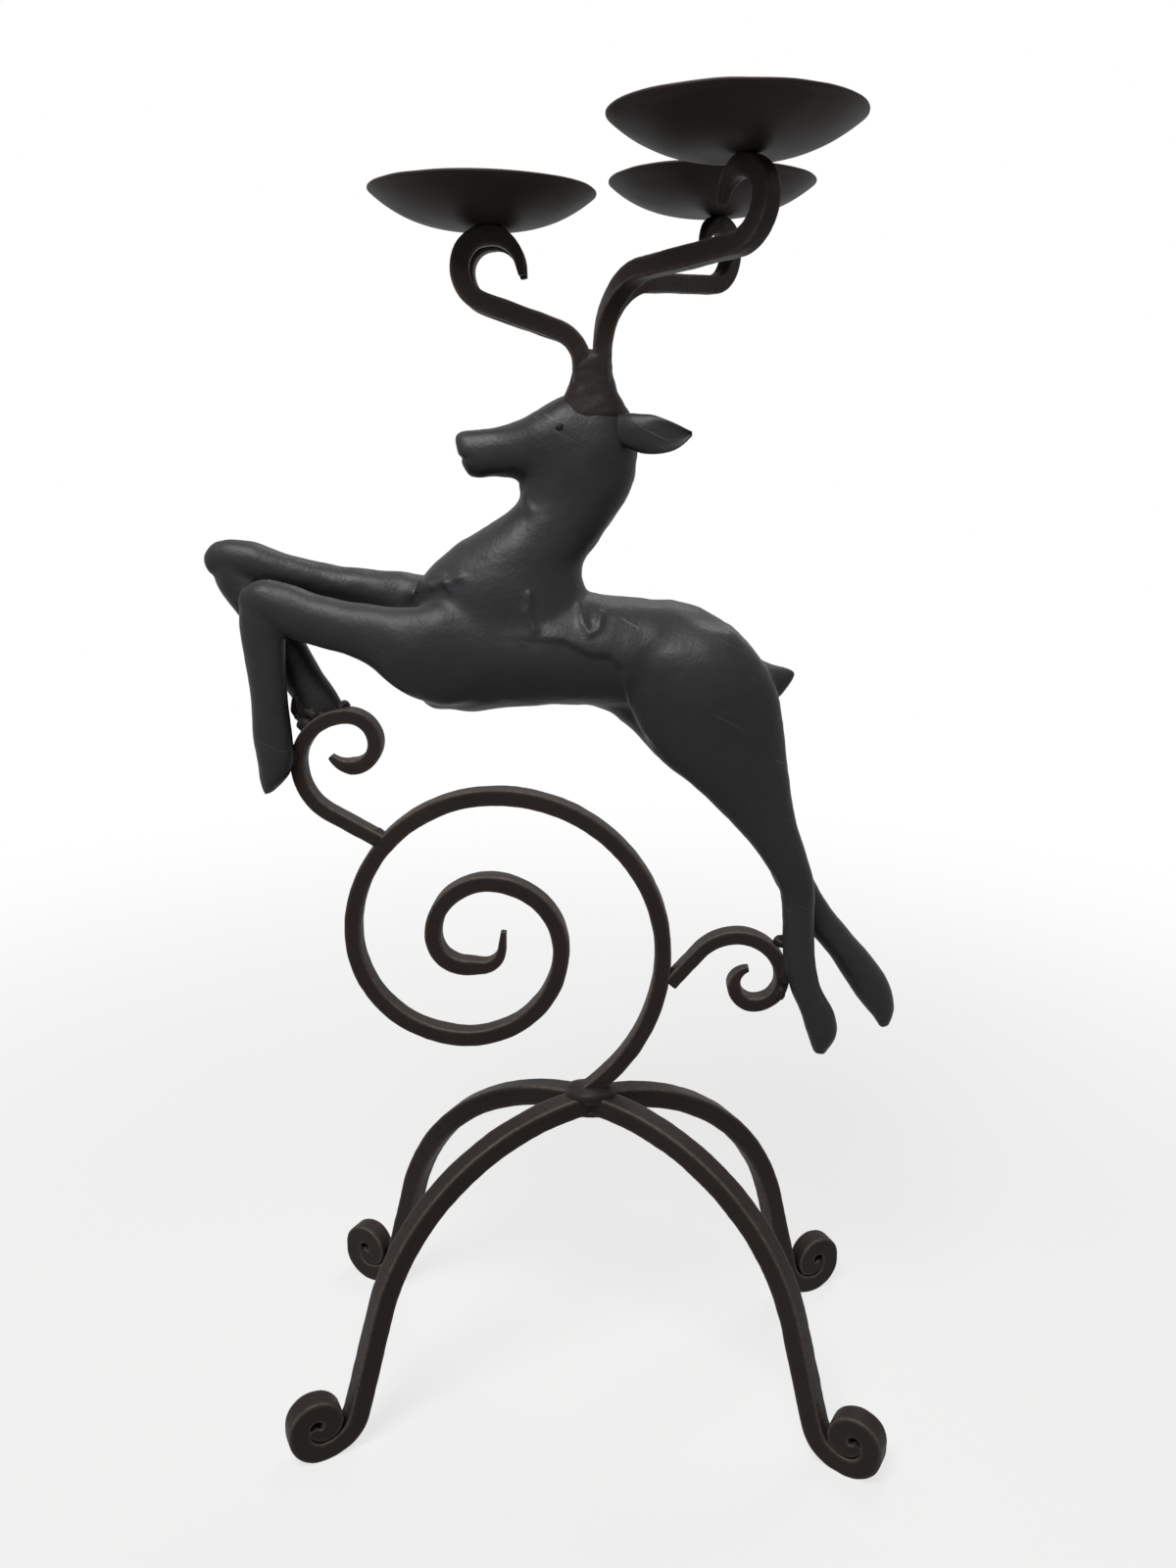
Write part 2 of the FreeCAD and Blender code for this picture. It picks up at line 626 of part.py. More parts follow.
def formed(forms, side=1, inset=0.0, leave_out=()):
    """A smooth solid through the sections of one form, or of several end to end: the poles of
    the sections are joined by curves along the piece, and these make one closed skin."""
    rings = []
    for form in forms:
        for station in STATIONS[form]:
            if station not in leave_out:
                rings.append(ring(form, station, side, inset))
    marks = [0.0]
    for before, after in zip(rings, rings[1:]):
        gaps = [one.distanceToPoint(other) for one, other in zip(before, after)]
        marks.append(marks[-1] + sum(gaps) / RING_POLES)
    lines = []
    for index in range(RING_POLES):
        line = Part.BSplineCurve()
        line.interpolate(Points=[poles[index] for poles in rings], Parameters=marks)
        lines.append(line)
    skin = Part.BSplineSurface()
    skin.buildFromPolesMultsKnots(
        [line.getPoles() for line in lines],
        [1] * (RING_POLES + 1), lines[0].getMultiplicities(),
        list(range(RING_POLES + 1)), lines[0].getKnots(),
        True, False, 3, lines[0].Degree,
    )
    wall = skin.toShape()
    ends = [edge for edge in wall.Edges if not edge.isSeam(wall)]
    shell = Part.Shell([wall] + [Part.Face(Part.Wire([edge])) for edge in ends])
    shell.sewShape()
    return Part.Solid(shell)


def form(name, shape):
    """A formed shape as an object in the deer's place."""
    thing = doc.addObject("Part::Feature", name)
    thing.Shape = shape
    thing.Placement.Base = deer
    return thing


# Body: torso, neck and head flow together, hollow, in two halves that meet on the middle plane.
sheet_inset = size("body_sheet")
outside = formed(["torso"]).fuse([formed(["neck"]), formed(["head"])])
inside = formed(["torso"], 1, sheet_inset, ("chest", "dock", "end")).fuse([
    formed(["neck"], 1, sheet_inset, ("crown",)),
    formed(["head"], 1, sheet_inset, ("back", "lips", "nose")),
])
deer_form = form("deer_form", outside)
deer_hollow = form("deer_hollow", inside)
deer_skin = trim("deer_skin", deer_form, deer_hollow)
reach = Vector(stand_reach, stand_reach, stand_reach) * 2
halves = {
    "left": block("left_half", deer - reach, deer + Vector(reach.x, 0, reach.z)),
    "right": block("right_half", deer - Vector(reach.x, 0, reach.z), deer + reach),
}
for hand, half in halves.items():
    finish(f"body_{hand}_half", within(f"body_{hand}_half", deer_skin, half))

# Tail: a nub on the dock.
tail = trim("tail", form("tail_form", formed(["tail"])), deer_form)
finish("tail", tail)

# Legs and ears: each is set on the body's side and cut to it, and the hoofs to their bracket.
for hand, side in (("left", -1), ("right", 1)):
    foreleg = formed([f"foreleg_{hand}"], side).fuse(formed([f"foreshank_{hand}"], side))
    finish(
        f"foreleg_{hand}",
        trim(f"foreleg_{hand}", form(f"foreleg_{hand}_form", foreleg), deer_form, front_bracket),
    )
    hindleg = form(f"hindleg_{hand}_form", formed(["haunch", f"hindshank_{hand}"], side))
    hindleg = within(f"hindleg_{hand}", hindleg, halves[hand])
    finish(f"hindleg_{hand}", trim(f"hindleg_{hand}", hindleg, deer_form, tail, rear_bracket))
    ear = form(f"ear_{hand}_form", formed(["ear"], side))
    finish(f"ear_{hand}", trim(f"ear_{hand}", ear, deer_form))

# Eyes: a weld dot on each side of the brow.
dots = []
for hand, side in (("left", -1), ("right", 1)):
    dot = doc.addObject("Part::Sphere", f"eye_{hand}")
    dot.setExpression("Radius", "sizes.eye_radius")
    probe = Part.makeLine(
        Vector(size("eye_x"), 0, size("eye_z")), Vector(size("eye_x"), side * reach.y, size("eye_z")),
    )
    surface = side * probe.common(outside).BoundBox.YLength
    dot.Placement.Base = deer + Vector(size("eye_x"), surface, size("eye_z"))
    dots.append(dot)
both_dots = doc.addObject("Part::MultiFuse", "eye_dots")
both_dots.Shapes = dots
finish("eyes", trim("eyes", both_dots, deer_form))


def pan(name, centre):
    """A pan: a sheet disc, flat in the middle and dished up to its rim, its underside at the centre."""
    body = doc.addObject("PartDesign::Body", name)
    sketch = new_sketch(body, f"{name}_profile", "XZ_Plane")
    flat = size("pan_flat_radius")
    rim = size("pan_radius")
    depth = size("pan_depth")
    thick = size("pan_sheet")
    dish = ((rim - flat) ** 2 + depth ** 2) / (2 * depth)
    middle = Vector(flat, dish, 0)
    lean = math.atan2(depth - dish, rim - flat)
    lip = middle + Vector(math.cos(lean), math.sin(lean), 0) * (dish - thick)
    axis = Vector(0, 0, 1)
    sketch.addGeometry(Part.LineSegment(Vector(0, 0, 0), Vector(flat, 0, 0)), False)
    sketch.addGeometry(Part.ArcOfCircle(Part.Circle(middle, axis, dish), -math.pi / 2, lean), False)
    sketch.addGeometry(Part.LineSegment(Vector(rim, depth, 0), lip), False)
    sketch.addGeometry(Part.ArcOfCircle(Part.Circle(middle, axis, dish - thick), -math.pi / 2, lean), False)
    sketch.addGeometry(Part.LineSegment(Vector(flat, thick, 0), Vector(0, thick, 0)), False)
    sketch.addGeometry(Part.LineSegment(Vector(0, thick, 0), Vector(0, 0, 0)), False)
    sketch.addConstraint([
        Sketcher.Constraint("Coincident", 0, 1, -1, 1),
        Sketcher.Constraint("Horizontal", 0),
        Sketcher.Constraint("Tangent", 0, 2, 1, 1),
        Sketcher.Constraint("Coincident", 1, 2, 2, 1),
        Sketcher.Constraint("Coincident", 2, 2, 3, 2),
        Sketcher.Constraint("Coincident", 3, 3, 1, 3),
        Sketcher.Constraint("PointOnObject", 1, 3, 2),
        Sketcher.Constraint("Coincident", 3, 1, 4, 1),
        Sketcher.Constraint("Horizontal", 4),
        Sketcher.Constraint("Vertical", 0, 2, 4, 1),
        Sketcher.Constraint("Coincident", 4, 2, 5, 1),
        Sketcher.Constraint("Coincident", 5, 2, -1, 1),
        Sketcher.Constraint("Vertical", 5),
    ])
    bind(sketch, Sketcher.Constraint("Distance", 0, flat), "sizes.pan_flat_radius")
    bind(sketch, Sketcher.Constraint("DistanceX", -1, 1, 1, 2, rim), "sizes.pan_radius")
    bind(sketch, Sketcher.Constraint("DistanceY", -1, 1, 1, 2, depth), "sizes.pan_depth")
    bind(sketch, Sketcher.Constraint("Distance", 2, thick), "sizes.pan_sheet")
    spun = body.newObject("PartDesign::Revolution", f"{name}_spun")
    spun.Profile = sketch
    spun.ReferenceAxis = (sketch, ["V_Axis"])
    spun.Angle = 360.0
    body.Placement.Base = centre
    finish(name, body)
    return body


# Antlers: bars that stand two by two on the crown. The front pair leans out together under one
# pan, and each rear bar swings out to its own side under a pan of its own.
TINE = [
    ("run", "tine_stem"),
    ("right", "tine_bend_radius", "tine_bend_turn"),
    ("run", "tine_run"),
    ("left", "tine_knee_radius", "tine_bend_turn"),
    ("left", "tine_curl_radius", 90.0),
]
TINE_TIP = [
    ("left", "tine_curl_radius", "tine_tip_turn"),
    ("run", "tine_tip_length"),
]
BEAM = [
    ("run", "beam_stem"),
    ("right", "beam_bend_radius", "beam_bend_turn"),
    ("run", "beam_run"),
    ("left", "beam_knee_radius", "beam_bend_turn"),
    ("left", "beam_curl_radius", 90.0),
]
BEAM_TIP = [
    ("left", "beam_curl_radius", "beam_tip_turn"),
    ("run", "beam_tip_length"),
]
antler_half = size("antler_bar") / 2
foot_side = antler_half + size("antler_gap") / 2
stem = deer + Vector(size("stem_x"), 0, size("stem_z"))


def antler(name, moves, tip, azimuth, foot):
    """An antler bar that stands square on its foot and bends out in the plane of its azimuth."""
    twist = 45.0 - (azimuth + 45.0) % 90.0
    section = ("antler_bar", "antler_bar")
    bent = bar(name, section, moves, ("antler_tip", "antler_tip"), tip, twist)
    outward = Vector(math.cos(math.radians(azimuth)), math.sin(math.radians(azimuth)), 0)
    upward = Vector(0, 0, 1)
    turn = FreeCAD.Rotation(upward, upward.cross(outward), outward * -1, "XZY")
    bent.Placement = FreeCAD.Placement(foot, turn)
    height, inward, _ = walk(moves)[-1]
    return bent, foot + outward * -inward + upward * height, outward


tines = {}
for hand, side in (("left", -1), ("right", 1)):
    azimuth = 180.0 - side * size("tine_spread")
    foot = stem + Vector(-foot_side, side * foot_side, 0)
    tines[hand], tine_top, _ = antler(f"front_tine_{hand}", TINE, TINE_TIP, azimuth, foot)
seat_drop = antler_half - size("pan_seat")
front_pan = pan("pan_front", Vector(tine_top.x - size("front_pan_offset"), 0, tine_top.z + seat_drop))
for hand, half in halves.items():
    tine = within(f"front_tine_{hand}", tines[hand], half)
    tines[hand] = trim(f"front_tine_{hand}", tine, deer_form, front_pan)
    finish(f"front_tine_{hand}", tines[hand])
for hand, side in (("left", -1), ("right", 1)):
    name = f"rear_beam_{hand}"
    foot = stem + Vector(foot_side, side * foot_side, 0)
    beam, beam_top, outward = antler(name, BEAM, BEAM_TIP, side * size("beam_azimuth"), foot)
    rear_pan = pan(
        f"pan_rear_{hand}", beam_top - outward * size("rear_pan_offset") + Vector(0, 0, seat_drop),
    )
    beam = within(name, beam, halves[hand])
    beam = trim(name, beam, deer_form, tines[hand], rear_pan)
    finish(name, beam)

# Antler collar: the weld that flares from the four bars down to the crown.
flare = doc.addObject("Part::Wedge", "antler_flare")
for low, high, width in (
    ("Xmin", "Xmax", "collar_width"), ("Zmin", "Zmax", "collar_width"),
    ("X2min", "X2max", "collar_top_width"), ("Z2min", "Z2max", "collar_top_width"),
):
    flare.setExpression(low, f"-sizes.{width} / 2")
    flare.setExpression(high, f"sizes.{width} / 2")
flare.setExpression("Ymin", "0")
flare.setExpression("Ymax", "sizes.collar_height")
flare.Placement = FreeCAD.Placement(stem, FreeCAD.Rotation(Vector(1, 0, 0), 90))
four_bars = Vector(antler_half + foot_side, antler_half + foot_side, size("collar_height"))
bar_block = block("bar_block", stem - four_bars, stem + four_bars)
finish("antler_collar", trim("antler_collar", flare, bar_block, deer_form))

doc.recompute()
for thing in doc.Objects:
    if "Invalid" in thing.State or "Error" in thing.State:
        raise RuntimeError(f"{thing.Label} failed: {thing.State}")
for name, thing in pieces.items():
    if thing.Shape.isNull() or not thing.Shape.isValid():
        raise RuntimeError(f"{name} has no valid shape")

os.makedirs("parts", exist_ok=True)
for name, thing in pieces.items():
    thing.Shape.exportStep(f"parts/{name}.step")
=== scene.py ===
"""A leaping deer candle holder of black-painted iron: stand, spiral, deer, antlers and pans.

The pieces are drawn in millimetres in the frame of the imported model, and set in metres.
"""
import math

import bpy
import mathutils
import numpy as np
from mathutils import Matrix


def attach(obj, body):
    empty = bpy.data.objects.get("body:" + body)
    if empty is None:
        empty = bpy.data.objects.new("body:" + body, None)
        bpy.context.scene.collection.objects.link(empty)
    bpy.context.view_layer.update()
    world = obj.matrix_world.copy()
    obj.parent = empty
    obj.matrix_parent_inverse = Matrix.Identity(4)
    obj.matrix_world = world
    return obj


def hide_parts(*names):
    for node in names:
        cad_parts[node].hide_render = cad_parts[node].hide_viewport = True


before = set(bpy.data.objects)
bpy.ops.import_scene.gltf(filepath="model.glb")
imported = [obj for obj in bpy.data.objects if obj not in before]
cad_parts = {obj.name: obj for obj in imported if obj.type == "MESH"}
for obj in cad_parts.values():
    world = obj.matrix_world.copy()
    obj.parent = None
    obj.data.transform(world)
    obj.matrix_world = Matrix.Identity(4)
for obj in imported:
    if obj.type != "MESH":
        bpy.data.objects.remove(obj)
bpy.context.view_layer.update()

# Stand legs: four lengths of square iron bar, bent hot into an arch and rolled up at the end into
# a foot. They meet in the middle under a weld; the paint is rubbed thin along their arrises.
MM = 0.001
HUB_X = 16.3
LEG_BAR = 11.8
LEG_TIP = 5.0
LEG_AZIMUTH = 27.5
FOOT_FLAT = 0.4
# A bar's moves: a run and its length, or an arc to the left or right, its radius and its degrees.
LEG = [
    ("right", 129.4, 75.2),
    ("run", 60.7),
    ("left", 21.0, 75.2),
    ("left", 12.0, 90.0),
    ("run", 4.7),
    ("left", 9.5, 90.0),
    ("left", 8.5, 90.0),
    ("left", 7.0, 40.0),
]
LEG_END = [("left", 5.2, 130.0)]
MOVES_TO_SOLE = 3
BAR_AROUND = 48
# A bar's end domes out by a share of its thickness, in rings that are pushed out and drawn in.
DOME_HEIGHT = 0.1
DOME_PUSH = np.array([1.0, 0.85, 0.45])
DOME_SHRINK = np.array([0.55, 0.8, 0.95])
# The hammer's dents, by depth and width, and how closely the wear keeps to the arrises.
HAMMER_DENTS = [(0.16, 17.0), (0.08, 6.0)]
ARRIS_POWER = 8
# The brush leaves patches. Mill scale is finer than this, and is drawn coarser so that it shows.
BRUSH_PATCH = 22.0
MILL_SCALE = 2.4


def centre_line(moves, start=(0.0, 0.0), heading=0.0, step=1.5):
    """Straight runs and tangent arcs end to end, in the bar's own plane.

    A run goes on along its heading, in 2 steps or more. An arc of radius R turns about a centre R to
    the left or the right, in 6 steps or more. Gives the points, their headings in radians, and the
    number of points after each move.
    """
    point = np.array(start, float)
    angle = math.radians(heading)
    points, headings, counts = [point[None]], [np.array([angle])], [1]
    for kind, length, *turn in moves:
        if kind == "run":
            share = np.linspace(0, 1, max(2, math.ceil(length / step)) + 1)[1:, None]
            stretch = point + share * length * np.array([math.cos(angle), math.sin(angle)])
            turned = np.full(len(share), angle)
        else:
            hand = 1 if kind == "left" else -1
            sweep = math.radians(turn[0])
            share = np.linspace(0, 1, max(6, math.ceil(length * sweep / step)) + 1)[1:]
            turned = angle + hand * sweep * share
            centre = point + hand * length * np.array([-math.sin(angle), math.cos(angle)])
            stretch = centre + hand * length * np.stack([np.sin(turned), -np.cos(turned)], 1)
        point, angle = stretch[-1], turned[-1]
        points.append(stretch)
        headings.append(turned)
        counts.append(counts[-1] + len(stretch))
    return np.concatenate(points), np.concatenate(headings), counts


def ripple(points, wave, seed, count=8):
    """A smooth unevenness between about -1 and 1: sine waves of about one length, summed over
    directions and phases that the seed fixes."""
    rng = np.random.default_rng(seed)
    ways = rng.normal(size=(count, 3))
    ways /= np.linalg.norm(ways, axis=1, keepdims=True)
    lengths = wave * rng.uniform(0.7, 1.5, count)
    phases = rng.uniform(0, 2 * np.pi, count)
    waves = np.sin(points @ (ways * (2 * np.pi / lengths)[:, None]).T + phases)
    return waves.sum(-1) * 2 / count


def tube(rings, ends):
    """A closed skin over rings of equal count, with a fan to one point at each end. Gives its
    points, and its four-sided walls and three-sided fans, which look outward."""
    count, around = rings.shape[:2]
    points = np.concatenate([rings.reshape(-1, 3), ends])
    ring = np.arange(around)
    after = (ring + 1) % around
    base = np.arange(count - 1)[:, None] * around
    walls = [base + ring, base + after, base + around + after, base + around + ring]
    walls = np.stack(walls, -1).reshape(-1, 4)
    top = (count - 1) * around
    first = np.stack([after, ring, np.full(around, count * around)], 1)
    last = np.stack([top + ring, top + after, np.full(around, count * around + 1)], 1)
    fans = np.concatenate([first, last])
    one, two, three = (points[walls[:, corner]] for corner in range(3))
    facing = ((one - points.mean(0)) * np.cross(two - one, three - one)).sum()
    if facing < 0:
        walls, fans = walls[:, ::-1], fans[:, ::-1]
    return points, [walls, fans]


def new_piece(name, skins, edge=None):
    """One or more closed skins, each given as points and arrays of faces, as one smooth object. A
    value for each point may be kept as the attribute "edge"."""
    points = np.concatenate([skin_points for skin_points, _ in skins])
    faces = []
    start = 0
    for skin_points, face_arrays in skins:
        for face_array in face_arrays:
            faces += (face_array + start).tolist()
        start += len(skin_points)
    mesh = bpy.data.meshes.new(name)
    mesh.from_pydata((points * MM).tolist(), [], faces)
    if edge is not None:
        kept = mesh.attributes.new("edge", "FLOAT", "POINT")
        kept.data.foreach_set("value", edge.astype(np.float32))
    mesh.shade_smooth()
    piece = bpy.data.objects.new(name, mesh)
    bpy.context.scene.collection.objects.link(piece)
    return piece


def forged_bar(name, line, headings, depth, height, place, corner=9.0, twist=0.0, seed=0):
    """A bar: a rounded rectangle carried along its centre line, its faces left uneven by the hammer.

    The section is the curve |u|^n + |v|^n = 1 with the corner's n, stretched to half the depth
    across the bar's plane and half the height in it. Depth, height and twist may change along the
    line. Each end closes in a low dome. The attribute "edge" is 1 on the arrises, 0 on the flats.
    """
    around = (np.arange(BAR_AROUND) + 0.5) / BAR_AROUND * 2 * np.pi
    circle = np.stack([np.cos(around), np.sin(around)])
    square = np.abs(circle) ** (2 / corner) * np.sign(circle)
    arris = np.abs(square[0] * square[1])
    depth, height, twist = (np.broadcast_to(size, headings.shape) for size in (depth, height, twist))
    bulge = DOME_HEIGHT * np.minimum(depth, height)[[0, -1]]
    push = [-DOME_PUSH * bulge[0], np.zeros_like(headings), DOME_PUSH[::-1] * bulge[1]]
    push = np.concatenate(push)[:, None]
    shrink = np.concatenate([DOME_SHRINK, np.ones_like(headings), DOME_SHRINK[::-1]])
    more = len(DOME_PUSH)
    headings, depth, height, twist = (
        np.pad(value, more, "edge") for value in (headings, depth, height, twist))
    ahead = np.stack([np.cos(headings), np.sin(headings)], 1)
    line = np.pad(line, ((more, more), (0, 0)), "edge") + push * ahead
    turn = np.radians(twist)[:, None]
    side = (shrink * depth / 2)[:, None] * square[0]
    rise = (shrink * height / 2)[:, None] * square[1]
    across = side * np.cos(turn) - rise * np.sin(turn)
    up = side * np.sin(turn) + rise * np.cos(turn)
    rings = np.stack([line[:, :1] - up * ahead[:, 1:], across, line[:, 1:] + up * ahead[:, :1]], -1)
    middle = np.stack([line[:, 0], np.zeros(len(line)), line[:, 1]], 1)
    outward = rings - middle[:, None]
    dent = sum(lift * ripple(rings, width, seed + index)
               for index, (lift, width) in enumerate(HAMMER_DENTS))
    rings = rings + dent[..., None] * outward / np.linalg.norm(outward, axis=-1, keepdims=True)
    worn = np.tile((arris / arris.max()) ** ARRIS_POWER, len(rings))
    skin = tube(place(rings), place(middle[[0, -1]]))
    return new_piece(name, [skin], np.append(worn, [0.0, 0.0]))


def drawn_down(counts, main_moves, full, tip):
    """A size along the line: full over the main moves, then shrinking evenly to the tip."""
    begin = counts[main_moves] - 1
    share = np.clip((np.arange(counts[-1]) - begin) / (counts[-1] - 1 - begin), 0, 1)
    return full + (tip - full) * share


def turned_at(origin, azimuth):
    """Takes a bar's own plane to the plane that stands at this azimuth over an origin."""
    cosine, sine = math.cos(math.radians(azimuth)), math.sin(math.radians(azimuth))
    turn = np.array([[cosine, -sine, 0], [sine, cosine, 0], [0, 0, 1]])
    return lambda points: points @ turn.T + np.array(origin)


def stood_on_floor(place):
    """The same placing, with what would sink into the floor flattened on it."""
    return lambda points: np.maximum(place(points), [-np.inf, -np.inf, 0.0])


def linear(code):
    """An sRGB hex colour as linear red, green and blue, with alpha 1."""
    shares = [int(code[index:index + 2], 16) / 255 for index in (1, 3, 5)]
    return tuple(c / 12.92 if c <= 0.04045 else ((c + 0.055) / 1.055) ** 2.4 for c in shares) + (1.0,)


def new_material(name):
    """An empty node material."""
    material = bpy.data.materials.new(name)
    material.use_nodes = True
    material.node_tree.nodes.clear()
    return material


def add_node(owner, kind, settings=None, **inputs):
    """Adds a shader node, sets its properties, and fills its inputs with values or with the outputs
    of other nodes. An input goes by its name with _ for a space, or by its number as in_0."""
    tree = owner.node_tree
    node = tree.nodes.new(kind)
    for key, value in (settings or {}).items():
        setattr(node, key, value)
    for key, value in inputs.items():
        if key.startswith("in_"):
            socket = node.inputs[int(key[3:])]
        else:
            label = key.replace("_", " ")
            socket = next(one for one in node.inputs if one.name == label and one.enabled)
        if isinstance(value, bpy.types.NodeSocket):
            tree.links.new(value, socket)
        else:
            socket.default_value = value
    return next((one for one in node.outputs if one.enabled), None)


def painted_bar():
    """Forged mild steel bar brushed with satin black paint: brown-black flats with a low sheen,
    paint rubbed thin and paler along the arrises, and a scaly, slightly dimpled skin."""
    material = new_material("satin_black_paint_on_forged_bar")
    place = add_node(material, "ShaderNodeTexCoord").node.outputs["Object"]
    patch = add_node(material, "ShaderNodeTexNoise", Vector=place, Scale=1 / (BRUSH_PATCH * MM),
                     Detail=4.0)
    scale = add_node(material, "ShaderNodeTexNoise", Vector=place, Scale=1 / (MILL_SCALE * MM),
                     Detail=5.0)
    worn = add_node(material, "ShaderNodeAttribute", {"attribute_name": "edge"}).node.outputs["Fac"]
    flats = add_node(material, "ShaderNodeMix", {"data_type": "RGBA"}, Factor=patch,
                     A=linear("#15110f"), B=linear("#241e1a"))
    rubbed = add_node(material, "ShaderNodeMath", {"operation": "MULTIPLY"}, in_0=worn, in_1=scale)
    paint = add_node(material, "ShaderNodeMix", {"data_type": "RGBA"}, Factor=rubbed,
                     A=flats, B=linear("#544c46"))
    sheen = add_node(material, "ShaderNodeMapRange", Value=patch, To_Min=0.4, To_Max=0.62)
    bump = add_node(material, "ShaderNodeBump", Strength=0.55, Distance=0.0005, Height=scale)
    surface = add_node(material, "ShaderNodeBsdfPrincipled", Base_Color=paint, Roughness=sheen,
                       Specular_IOR_Level=0.1, Normal=bump)
    add_node(material, "ShaderNodeOutputMaterial", Surface=surface)
    return material


def add_piece(piece, material, slot, *nodes):
    """Gives a piece its material and its body, and lets it stand for its CAD nodes. Its slot, the
    finish, is not used.
    """
    piece.data.materials.append(material)
    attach(piece, "root")
    if nodes:
        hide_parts(*nodes)


bar_paint = painted_bar()
leg_line, leg_headings, leg_counts = centre_line(LEG + LEG_END)
leg_height = drawn_down(leg_counts, len(LEG), LEG_BAR, LEG_TIP)
sole = leg_line[leg_counts[MOVES_TO_SOLE] - 1]
HUB_Z = LEG_BAR / 2 - FOOT_FLAT - sole[1]
LEG_AZIMUTHS = {
    "stand_leg_front_left": 180.0 + LEG_AZIMUTH,
    "stand_leg_front_right": 180.0 - LEG_AZIMUTH,
    "stand_leg_rear_left": -LEG_AZIMUTH,
    "stand_leg_rear_right": LEG_AZIMUTH,
}
for number, (name, azimuth) in enumerate(LEG_AZIMUTHS.items()):
    leg_place = stood_on_floor(turned_at((HUB_X, 0.0, HUB_Z), azimuth))
    leg = forged_bar(name + "_bar", leg_line, leg_headings, LEG_BAR, leg_height, leg_place,
                     seed=number * 7)
    add_piece(leg, bar_paint, "forged_bar", name)

# Hub weld: weld metal run round the foot of the spiral, on top of the four legs, and a second run
# under the crossing. Both are left as laid and painted over.
HUB_TOP = HUB_Z + LEG_BAR / 2
HUB_RUNS = [
    ((HUB_X, 0.0, HUB_TOP - 1.0), (15.0, 11.5, 6.4)),
    ((HUB_X, 0.0, HUB_TOP - LEG_BAR + 0.6), (17.0, 8.0, 3.6)),
]
HUB_ROUGH = 0.08
# The ripples of a run of weld, at their real width.
WELD_RIPPLE = 3.0


def painted_weld():
    """Arc-weld metal under satin black paint: lumpy, with small spatter, and a broken sheen."""
    material = new_material("satin_black_paint_on_arc_weld")
    place = add_node(material, "ShaderNodeTexCoord").node.outputs["Object"]
    lumps = add_node(material, "ShaderNodeTexNoise", Vector=place, Scale=1 / (WELD_RIPPLE * MM),
                     Detail=4.0)
    colour = add_node(material, "ShaderNodeMix", {"data_type": "RGBA"}, Factor=lumps,
                      A=linear("#161312"), B=linear("#231f1d"))
    bump = add_node(material, "ShaderNodeBump", Strength=0.5, Distance=0.0006, Height=lumps)
    surface = add_node(material, "ShaderNodeBsdfPrincipled", Base_Color=colour, Roughness=0.5,
                       Specular_IOR_Level=0.1, Normal=bump)
    add_node(material, "ShaderNodeOutputMaterial", Surface=surface)
    return material


def weld_lump(centre, radii, seed, rough=0.12, bands=20, around=36):
    """A lump of weld: a ball r(latitude, longitude) = 1 + unevenness, stretched to three radii. The
    unevenness is a ripple 1.4 radii long, with half as much of one that is 0.6 radii long."""
    latitude = np.linspace(-np.pi / 2, np.pi / 2, bands + 2)[1:-1, None]
    longitude = np.arange(around)[None] / around * 2 * np.pi
    girth = np.cos(latitude)
    ball = (girth * np.cos(longitude), girth * np.sin(longitude), np.sin(latitude))
    ball = np.stack(np.broadcast_arrays(*ball), -1)
    poles = np.array([[0.0, 0.0, -1.0], [0.0, 0.0, 1.0]])

    def grown(unit):
        """Points of the unit ball, made uneven, stretched and set at the lump's centre."""
        uneven = ripple(unit, 1.4, seed) + 0.5 * ripple(unit, 0.6, seed + 1)
        return unit * (1 + rough * uneven)[..., None] * radii + centre

    return tube(grown(ball), grown(poles))


weld_paint = painted_weld()
hub_welds = [weld_lump(centre, radii, seed=40 + number, rough=HUB_ROUGH)
             for number, (centre, radii) in enumerate(HUB_RUNS)]
add_piece(new_piece("hub_weld_runs", hub_welds), weld_paint, "weld_metal", "hub_weld")

# Spiral scroll: one length of flat-sided bar, forged to a point at the inner end and wound on a
# former. It stands on the hub and carries the deer through its two brackets.
SCROLL_BAR = 9.0
SCROLL_DEPTH = 10.0
SCROLL_SLOPE = 42.3
SCROLL_ROOT = 8.0
SCROLL_FOOT_X = -2.8
POINT_BAR = 3.0
POINT_DEPTH = 5.0
SCROLL = [("run", 16.8), ("left", 104.0, 47.7)] + [
    ("left", radius, 90.0) for radius in (88.3, 78.8, 59.8, 52.4, 38.4, 30.6, 18.0)]
SCROLL_TIP = [("run", 8.0), ("left", 11.0, 85.0), ("run", 10.0)]


def in_plane(points):
    """Leaves a bar in the middle plane, where its line was drawn."""
    return points


slope = math.radians(SCROLL_SLOPE)
scroll_start = (HUB_X + SCROLL_FOOT_X - SCROLL_ROOT * math.cos(slope),
                HUB_TOP - SCROLL_ROOT * math.sin(slope))
scroll_line, scroll_headings, scroll_counts = centre_line(
    SCROLL + SCROLL_TIP, scroll_start, SCROLL_SLOPE)
scroll = forged_bar("spiral_scroll_bar", scroll_line, scroll_headings,
                    drawn_down(scroll_counts, len(SCROLL), SCROLL_DEPTH, POINT_DEPTH),
                    drawn_down(scroll_counts, len(SCROLL), SCROLL_BAR, POINT_BAR),
                    in_plane, seed=60)
add_piece(scroll, bar_paint, "forged_bar", "spiral_scroll")

# Brackets: two small scrolls of lighter bar, welded to the outside of the spiral. The front one
# turns over to carry the forehoofs, the rear one reaches out to the hind hoofs.
BRACKET_BAR = 7.6
BRACKET_DEPTH = 10.0
